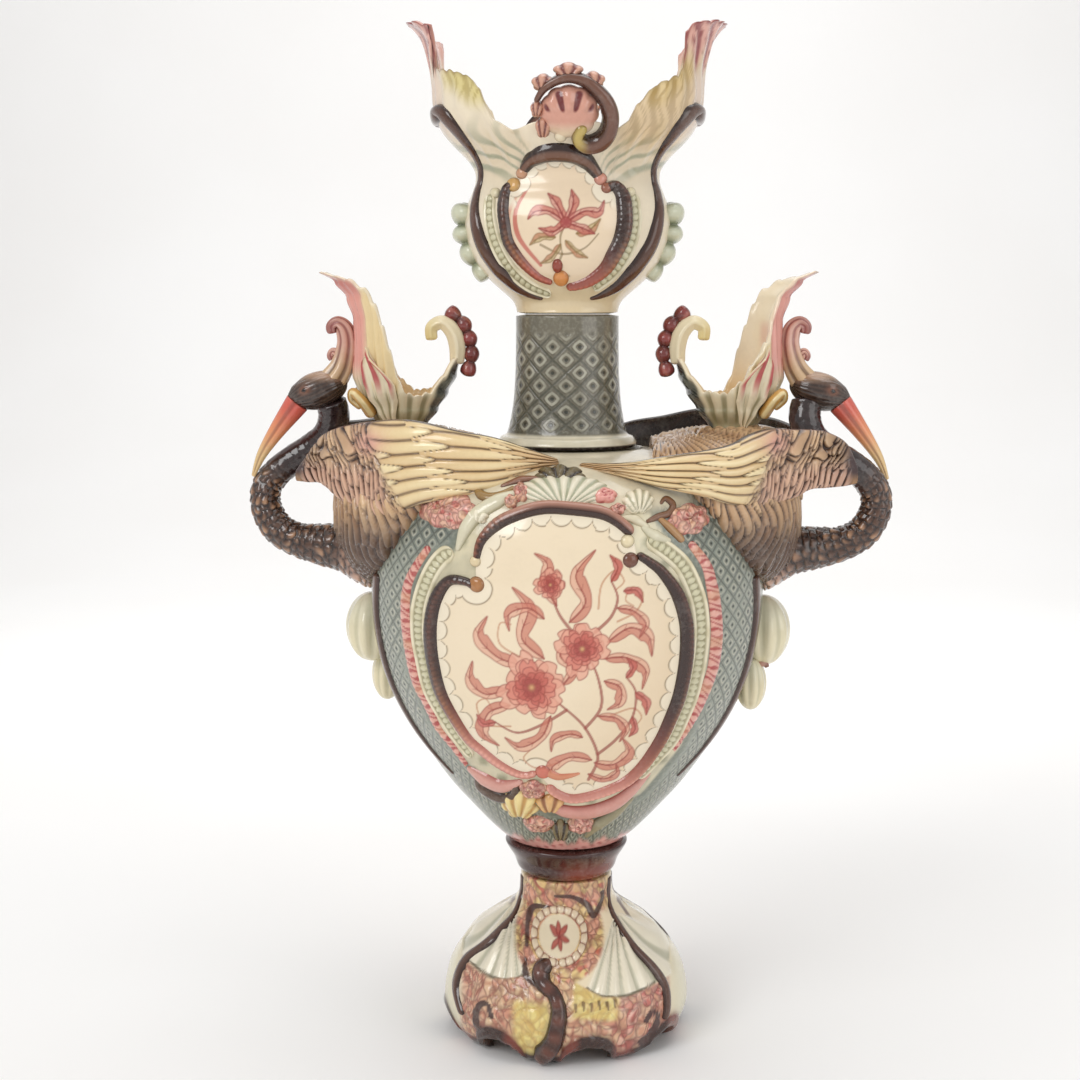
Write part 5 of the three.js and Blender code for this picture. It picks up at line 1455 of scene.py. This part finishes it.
neck_line = bird_at(*np.array([
    (-6, 0, -37), (5, 0, -34), (16, -1, -31.5), (31, -2, -29.5), (45, -4, -27), (57, -5, -20.5), (64, -6, -9),
    (64.5, -7, 3), (59, -9, 12), (49.5, -11, 20), (37, -11, 28), (27, -8, 36), (22.5, -5, 47), (24, -2, 57),
]).T)


def neck_feathers(u, v, along):
    turn = (u * 2 * np.pi + np.pi / 2) % (2 * np.pi) - np.pi
    proud, under, tone, quill = plumage(300 - along, turn * 9.5, 5, 4.9, 1.4, 0.5, 0.4)
    scaly = 1 - rises(0.56, 0.68, v)
    # the scales lighter where raised, partly their own tone and partly a painted highlight, and darker under
    # each edge as painted shadow
    raised = rises(0.3, 1, proud * (0.3 + 0.9 * tone))
    colour = mix(tint(92, 64, 50), tint(176, 134, 102), raised * scaly)
    colour = mix(colour, tint(30, 20, 19), np.clip(under * 1.2, 0, 1) * (0.4 + 0.6 * scaly))
    # a painted sheen on the smooth upper neck, lighter in two bands along it
    painted_sheen = rises(0.2, 1, np.sin(turn * 2 + 1)) * 0.5 + 0.2 * proud
    colour = mix(colour, mix(tint(40, 28, 28), tint(104, 80, 80), painted_sheen), 1 - scaly)
    # pink at the root, with painted shadow under the feather edges
    root = 1 - rises(0.03, 0.2, v)
    root_colour = mix(tint(206, 164, 142), feather_shadow_and_quill, np.clip(under * 1.2, 0, 1))
    return proud * (0.3 + 0.6 * scaly) - under * 0.5 * scaly, mix(colour, root_colour, root)


neck_radii = [20, 18, 14.5, 12.2, 10, 9.4, 9, 8.7, 8.6, 8.6, 8.6, 8.8, 9.2, 9]
bird_neck = rolled("right_bird_neck_glazed", neck_line, neck_radii, 330, 60, cap=0.02, paint=neck_feathers)
on_both_birds(bird_neck, brown_glaze, "brown_glaze", "neck")


def head_shape(u, v):
    """A small head that runs down into the beak, with a brow over each eye."""
    lean, turn = v * np.pi, u * 2 * np.pi
    x, y, z = np.cos(lean), np.sin(lean) * np.cos(turn), np.sin(lean) * np.sin(turn)
    eye_x, eye_z = 0.3, 0.22
    eye = hump(x - eye_x, 0.17) * hump(z - eye_z, 0.2)
    brow = hump(x - 0.25, 0.42) * hump(z - 0.52 - 0.2 * x, 0.12)
    pupil = hump(x - eye_x, 0.1) * hump(z - eye_z, 0.12)
    streak = 0.5 + 0.5 * np.sin(turn * 26 + x * 5)
    swell = 1 + 0.06 * eye + 0.09 * brow + 0.024 * streak
    slim = 1 - 0.16 * rises(0.1, 1, x)
    point = np.stack([x * 18, y * 11.5 * slim, z * 10.8 * slim], -1) * swell[:, None]
    droop = math.radians(18)
    out = point[:, 0] * math.cos(droop) + point[:, 2] * math.sin(droop)
    up = point[:, 2] * math.cos(droop) - point[:, 0] * math.sin(droop)
    colour = mix(tint(46, 33, 28), tint(108, 82, 68), streak * 0.35 + brow * 0.5)
    colour = mix(colour, tint(196, 156, 122), rises(0.4, 1, z - 0.6 * x) * 0.7)
    colour = mix(colour, tint(176, 112, 82), eye * 0.6)
    colour = mix(colour, tint(12, 8, 8), rises(0.35, 0.6, pupil))
    return bird_at(31.5 + out, -1 + point[:, 1], 62.5 + up), colour


on_both_birds(wrapped("right_bird_head_glazed", 96, 72, head_shape), brown_glaze, "brown_glaze", "head")


def beak_horn(u, v, along):
    """Red at the root, orange, and yellow at the tip, with the line between its halves."""
    turn = np.abs(np.sin(u * 2 * np.pi - 0.1))
    groove = hump(turn, 0.16) * (1 - rises(0.85, 1, v))
    colour = mix(tint(210, 94, 78), tint(230, 150, 104), rises(0.08, 0.4, v))
    colour = mix(colour, tint(226, 192, 136), rises(0.32, 0.7, v))
    return -0.9 * groove, mix(colour, tint(110, 50, 42), groove * 0.75)


beak_line = bird_at(*np.array([(43, -1, 56), (56, -2, 39), (66, -3, 24), (71.5, -4, 11)]).T)
beak = rolled("right_bird_beak_glazed", beak_line, [7.5, 5, 3, 1.2], 120, 32, cap=0.03, paint=beak_horn)
on_both_birds(beak, fired("beak_glaze", 0.13, 0.04), "beak_glaze", "beak")


def plume_flutes(u, v, along):
    ridge = np.cos(u * 2 * np.pi * 6 + v * 3)
    colour = mix(tint(216, 168, 150), tint(140, 72, 66), rises(0.1, 0.9, -ridge) * 0.8)
    colour = mix(colour, tint(140, 62, 64), rises(0.5, 0.9, v) * 0.7)
    tan = mix(tint(208, 176, 138), tint(112, 82, 56), rises(0.1, 0.9, -ridge) * 0.9)
    return ridge * 0.6, mix(colour, tan, 1 - rises(0.12, 0.4, v))


for name, radii, line in [
    ("plume_glazed", [9, 7, 5.6, 5, 3.8, 3.3, 2.8],
     [(25, -1, 65), (17, -1, 76), (13.5, -1, 89), (14.5, -1, 98), (18.5, -1, 102), (22, -1, 100),
      (21.5, -1, 96)]),
    ("plume_curl", [4, 3, 2.4, 2.1, 1.7], [(18, -1, 74), (19, -1, 82), (21.5, -1, 85), (23, -1, 83),
                                           (22, -1, 81)]),
]:
    line = bird_at(*np.array(line).T)
    plume = rolled(f"right_bird_{name}", line, radii, 90, 54, 0.9, cap=0.09, paint=plume_flutes)
    if name == "plume_glazed":
        on_both_birds(plume, pink_glaze, "pink_glaze", "plume")
    else:
        set_down(turned(plume, f"left_bird_{name}"), pink_glaze, "pink_glaze")
        set_down(plume, pink_glaze, "pink_glaze")

# The wings, a low one and a high one on each bird, are flat leaves of clay pressed in moulds and luted to the
# shoulder. Along each: how far out, how far back, its lower edge, its upper edge, and its thickness.
low_wing = np.array([
    (51, -24, 11, 20, 4), (44, -26, 9.5, 34, 7), (33, -28, 8.5, 40.5, 9), (23, -32, 8, 42.5, 10),
    (13, -38, 4, 43, 11), (-2, -48, 1, 44, 12), (-14, -58, 1, 41.5, 12), (-26, -65, 3, 36, 11),
    (-42, -71, 8, 33, 10), (-64, -75, 13, 30, 8.5), (-86, -73, 19, 26.5, 6), (-108, -66, 23, 26, 4),
])
high_wing = np.array([
    (41, 22, 11, 17, 4), (33, 25, 10.5, 27, 7), (24, 29, 10, 37.5, 9), (14, 36, 3, 43, 11),
    (2, 44, -3, 46, 12), (-10, 52, -9, 48, 13), (-24, 61, -3, 49.5, 13), (-38, 68, 3, 48.5, 12),
    (-58, 73, 7, 44, 11), (-78, 74, 11, 40.5, 9), (-98, 70, 18, 33.5, 7), (-112.5, 64, 23, 28, 4),
])


def wing_shape(sections, outer):
    """Small curled feathers at the shoulder turn down to the breast, and long cream ones run to the tip. The
    leading end is smooth, and the inner face plain and dark."""

    def place(u, v):
        line, ahead = spline(sections, v), ahead_of(sections[:, :2], v, 0.01)
        along = run_of(sections[:, :2], v)
        angle = u * 2 * np.pi - 0.5 * outer * np.sin(u * 2 * np.pi)
        middle, half = (line[:, 2] + line[:, 3]) / 2, (line[:, 3] - line[:, 2]) / 2
        up = middle + half * np.sin(angle)
        face = rises(-0.05, 0.3, np.cos(angle) * outer)
        # three kinds of feather: the small ones, those that hang to the breast, and the long ones
        bend = along * 0.6 + (40 - up) * 0.8 + 3 * np.sin(along * 0.22 + 1) + 2.4 * np.sin(up * 0.33)
        slant = (40 - up) * 0.7 - along * 0.75 + 2.4 * np.sin(along * 0.28 + up * 0.2)
        small = plumage(bend, slant, 9.5, 4.4, 1.5, 0.9, 0.8)
        down = 60 - up + 0.3 * along + 2 * np.sin(along * 0.4)
        hanging = plumage(down, along * 0.95 + up * 0.2, 14, 4.2, 1.4, 0.8, 0.8)
        fan = (up - middle) / np.maximum(half, 3) * 17
        outward = along + 30 + 0.35 * np.abs(fan) + 0.5 * fan
        long = plumage(outward, fan + 0.8 * np.sin(along * 0.1), 42, 5.6, 1.5, 0.4, 0.85)
        low = rises(27, 16, up) * (1 - rises(66, 76, along))
        far = rises(64, 74, along + 0.5 * (up - 22))
        parts = [a + (b - a) * low for a, b in zip(small, hanging)]
        proud, under, tone, quill = [a + (b - a) * far for a, b in zip(parts, long)]
        plain = 1 - rises(5, 11, along + 0.2 * np.abs(up - 24))
        swell = (proud * 2.4 - under * (1.7 - 0.5 * far)) * face * (1 - plain)
        close = np.sqrt(from_ends(v, 0.012))
        flat = np.abs(np.cos(angle))
        side = line[:, 4] / 2 * flat**0.8 * np.sign(np.cos(angle)) * close + swell * outer * flat**0.5
        rise = middle + half * np.sin(angle) * close
        points = bird_at(line[:, 0] - ahead[:, 1] * side, line[:, 1] + ahead[:, 0] * side, rise)
        # feathers lighter where raised, partly their own tones and mostly a painted highlight; the long cream
        # vanes below likewise
        colour = mix(tint(132, 92, 66), tint(220, 184, 144), tone * 0.3 + proud * 0.7)
        colour = mix(colour, tint(78, 52, 42), rises(30, 6, along) * 0.6)
        colour = mix(colour, tint(222, 176, 154), low * 0.6)
        cream_vane = mix(tint(206, 160, 104), tint(242, 222, 174), np.clip(0.3 * tone + proud, 0, 1))
        colour = mix(colour, cream_vane, far)
        blush = hump(along - 60, 11) * hump(up - 36, 7)
        colour = mix(colour, tint(226, 166, 150), blush * 0.8)
        colour = mix(colour, tint(170, 112, 58), rises(0.8, 1, v) * 0.6)
        # painted shadow under the edge of each feather and in the seams, deepest among the small feathers
        colour = mix(colour, tint(58, 34, 26), np.clip(under * (1.9 - 0.9 * far), 0, 1))
        colour = mix(colour, mix(tint(66, 46, 46), tint(128, 100, 96), rises(24, 38, up) * 0.6), plain)
        colour = mix(colour, tint(178, 132, 84), plain * rises(18, 10, up) * 0.8)
        top = rises(0.955, 0.985, np.sin(angle))
        colour = mix(colour, mix(tint(132, 100, 92), tint(62, 44, 40), far), top * 0.9)
        inner = mix(tint(40, 28, 27), tint(72, 54, 50), rises(0.4, 1, np.sin(along * 0.35 + up * 0.4)) * 0.4)
        return points, mix(inner, colour, face)

    return place


wing_glaze = fired("pale_feather_glaze", 0.15, 0.07)
for name, other, sections, outer in [
    ("front_wing", "back_wing", low_wing, 1), ("back_wing", "front_wing", high_wing, -1),
]:
    wing = wrapped(f"right_bird_{name}_glazed", 116, 290, wing_shape(sections, outer))
    on_both_birds(wing, wing_glaze, "pale_feather_glaze", name, other)

# The cup on each bird's back, a thin fluted leaf pressed hollow, with one tall pink tip and a dark curled
# arm. Two small leaves, two gilded curls, a volute and a string of red beads are luted to it.
cup_rim = [(-180, 42), (-165, 40), (-152, 30), (-138, 22), (-105, 21), (-78, 28), (-66, 38), (-45, 50),
           (-38, 56), (-34, 70), (-28, 81), (-18, 88), (-8, 91), (10, 90), (30, 87), (48, 81), (58, 72),
           (68, 60), (78, 47), (88, 30), (100, 21), (120, 19), (138, 21), (152, 30), (165, 40), (180, 42)]
cup_out = [(0, 14), (8, 18), (18, 25), (30, 29), (45, 28), (62, 28), (75, 32), (84, 39), (91, 50)]
cup_in = [(0, 14), (10, 21), (20, 27), (30, 32), (44, 35)]
cup_side = [(0, 14), (10, 18), (22, 22), (45, 25), (91, 26)]
cup_foot = np.array([97, 0, 367.6])
cup_wall = 3.6


def cup_skin(angle, height, out):
    facing = np.cos(angle)
    reach = np.where(facing > 0, read_along(cup_out, height), read_along(cup_in, height))
    radius = reach * facing**2 + read_along(cup_side, height) * (1 - facing**2) + out
    return np.stack([radius * facing, radius * np.sin(angle), height], -1) + cup_foot


def cup_shape(u, v):
    turn = u * 360 - 180
    angle = np.radians(turn)
    outside, climb = there_and_back(v, 0.55)
    rim = read_along(cup_rim, turn)
    # the outside starts 6 mm down in the bird's back, and the inside ends on a floor at 8 mm
    low = np.where(outside, -6.0, 8.0)
    height = low + (rim - low) * climb
    leafy = rises(40, 60, rim)
    arm = rises(138, 150, np.abs(turn))
    wave = np.cos(np.radians(turn * 15))
    frill = np.abs(wave)
    flute = wave * (1 - arm) * rises(-2, 8, height) * (1 - leafy * rises(20, 40, height) * 0.8)
    vein = np.cos(turn * 0.55 + height * 0.09)
    edge = hump(rim - height, 2.4)
    out = np.where(outside, flute * 1.1 + vein * leafy * 0.7 * (1 - edge), -cup_wall + edge * 1.1)
    height = height - edge * (1 - frill) * 1.6 * (1 - arm)
    points = cup_skin(angle, height, out)
    close = np.where(outside, rises(0, 0.02, v), rises(0, 0.03, 1 - v))
    points[:, :2] = cup_foot[:2] + (points[:, :2] - cup_foot[:2]) * close[:, None]
    tall = between(-44, -36, 36, 48, turn)
    smooth = between(40, 50, 84, 94, turn) * rises(18, 26, height)
    colour = mix(tint(232, 218, 184), tint(130, 124, 86), rises(0.0, 0.8, -flute) * 0.75 * (1 - smooth))
    colour = mix(colour, tint(120, 114, 72), (1 - rises(3, 17, height)) * 0.7)
    golden = np.maximum(smooth, rises(20, 36, height) * (1 - tall) * (1 - arm))
    colour = mix(colour, tint(232, 208, 158), golden)
    colour = mix(colour, tint(228, 160, 146), tall * rises(22, 40, height))
    stroke = rises(0.1, 0.8, np.sin(height * 0.5 + np.abs(turn) * 0.16))
    stroke = stroke * rises(0.2, 0.8, np.cos(np.radians(turn * 7)))
    colour = mix(colour, tint(160, 62, 60), tall * stroke * rises(30, 44, height) * 0.9)
    colour = mix(colour, tint(170, 74, 70), tall * rises(72, 86, height) * 0.7)
    rough = np.sin(turn * 1.9 + height * 1.1) * np.sin(height * 1.7 - turn * 1.3)
    colour = mix(colour, mix(tint(96, 98, 88), tint(44, 46, 42), rises(-0.2, 0.7, rough)), arm * (1 - edge))
    colour = mix(colour, tint(240, 226, 196), edge * (0.95 - 0.3 * tall))
    inner = mix(tint(226, 196, 146), tint(245, 230, 202), rises(14, 46, height))
    inner = mix(inner, tint(222, 152, 138), tall * rises(0.3, 1, np.sin(height * 0.13 + 0.9)) * 0.4)
    return points, mix(inner, colour, outside)


on_both_birds(wrapped("right_bird_cup_glazed", 190, 136, cup_shape), pale_glaze, "cream_glaze", "cup")


def cup_leaf(side):
    """A pointed leaf before the cup, cream with red flutes at its top."""

    def place(u, v):
        over, across = there_and_back(u, 0.7)
        across = across * 2 - 1
        broad = np.interp(v, [0, 0.12, 0.4, 0.62, 0.85, 1], [0, 13, 25, 24, 12, 0])
        turn = side * (68 - 12 * v + across * broad - 6 * rises(0.6, 1, v))
        height = -2 + v * (46 + 3 * np.cos(across * 3))
        flute = np.cos(across * 2.5 * np.pi)
        rim = np.clip(rises(0.75, 1, np.abs(across)) + rises(0.9, 1, v), 0, 1)
        curled = 2.4 * rises(0.5, 1, v)
        out = np.where(over, 1.6 + 0.9 * flute + curled - 1.4 * rim, -1.2 + curled)
        green = rises(0.3, 1, -flute) * (1 - rises(0.35, 0.6, v)) * 0.8
        colour = mix(tint(238, 224, 192), tint(150, 140, 96), green)
        colour = mix(colour, tint(186, 78, 76), rises(0.35, 0.65, v) * rises(-0.2, 0.6, flute) * (1 - rim))
        return cup_skin(np.radians(turn), height, out), colour

    return place


def gilded(u, v, along):
    # gold, with two lighter stripes along the curl as a painted sheen
    colour = mix(tint(206, 158, 84), tint(238, 216, 160), rises(0.2, 0.9, np.cos(u * 4 * np.pi)))
    return 0.25 * np.cos(u * 8 * np.pi), colour


curl_places = [(30, 6, 2), (34, 15, 4.5), (28, 20, 6.5), (20, 16, 6.5), (24, 11, 6)]
for name, other, side in (("front", "back", -1), ("back", "front", 1)):
    small = wrapped(f"right_bird_{name}_cup_leaf", 70, 60, cup_leaf(side))
    curl_line = [cup_skin(math.radians(side * turn), height, out) for turn, height, out in curl_places]
    curl_radii = [3.4, 3, 2.6, 2.4, 2]
    curl = rolled(f"right_bird_{name}_cup_curl", curl_line, curl_radii, 50, 20, cap=0.08, paint=gilded)
    for piece, kind in ((small, "leaf"), (curl, "curl")):
        set_down(turned(piece, f"left_bird_{other}_cup_{kind}"), pale_glaze, "cream_glaze")
        set_down(piece, pale_glaze, "cream_glaze")


def volute_flutes(u, v, along):
    return 0.3 * np.cos(u * 12 * np.pi), mix(tint(238, 224, 190), tint(228, 208, 146), rises(0.5, 1, v))


volute_line = [(-32, 0, 36), (-32.5, 0, 46), (-30, 0, 55), (-24, 0, 60.5), (-17.5, 0, 57.5), (-17.5, 0, 50)]
volute_line = volute_line + cup_foot
volute_radii = [4.2, 5, 5, 4.4, 3.8, 3.4]
volute = rolled("right_bird_cup_volute_glazed", volute_line, volute_radii, 90, 32, 1.5, cap=0.06,
                paint=volute_flutes)
on_both_birds(volute, pale_glaze, "cream_glaze", "cup_volute")

bead_line = [(-37.5, 0, 29), (-40.5, 0, 40), (-39.5, 0, 51), (-35, 0, 61), (-26, 0, 68)] + cup_foot


def bead_string(u, v, along):
    swell = np.abs(np.sin(v * np.pi * 5)) ** 0.8
    # dark red beads, lighter where each swells and darker between, painted light and shade
    colour = mix(tint(84, 38, 36), tint(150, 66, 62), swell * (0.7 + 0.3 * np.sin(v * 14)))
    # a painted glint, a light streak winding along the string
    painted_glint = rises(0.8, 1, np.cos(u * 4 * np.pi + v * 6))
    return swell * 2.2, mix(colour, tint(206, 130, 112), painted_glint * 0.35)


beads = rolled("right_bird_cup_beads_glazed", bead_line, [2.6, 2.6], 200, 28, cap=0.06, paint=bead_string)
on_both_birds(beads, fired("red_bead_glaze", 0.13, 0.06), "red_bead_glaze", "cup_beads")
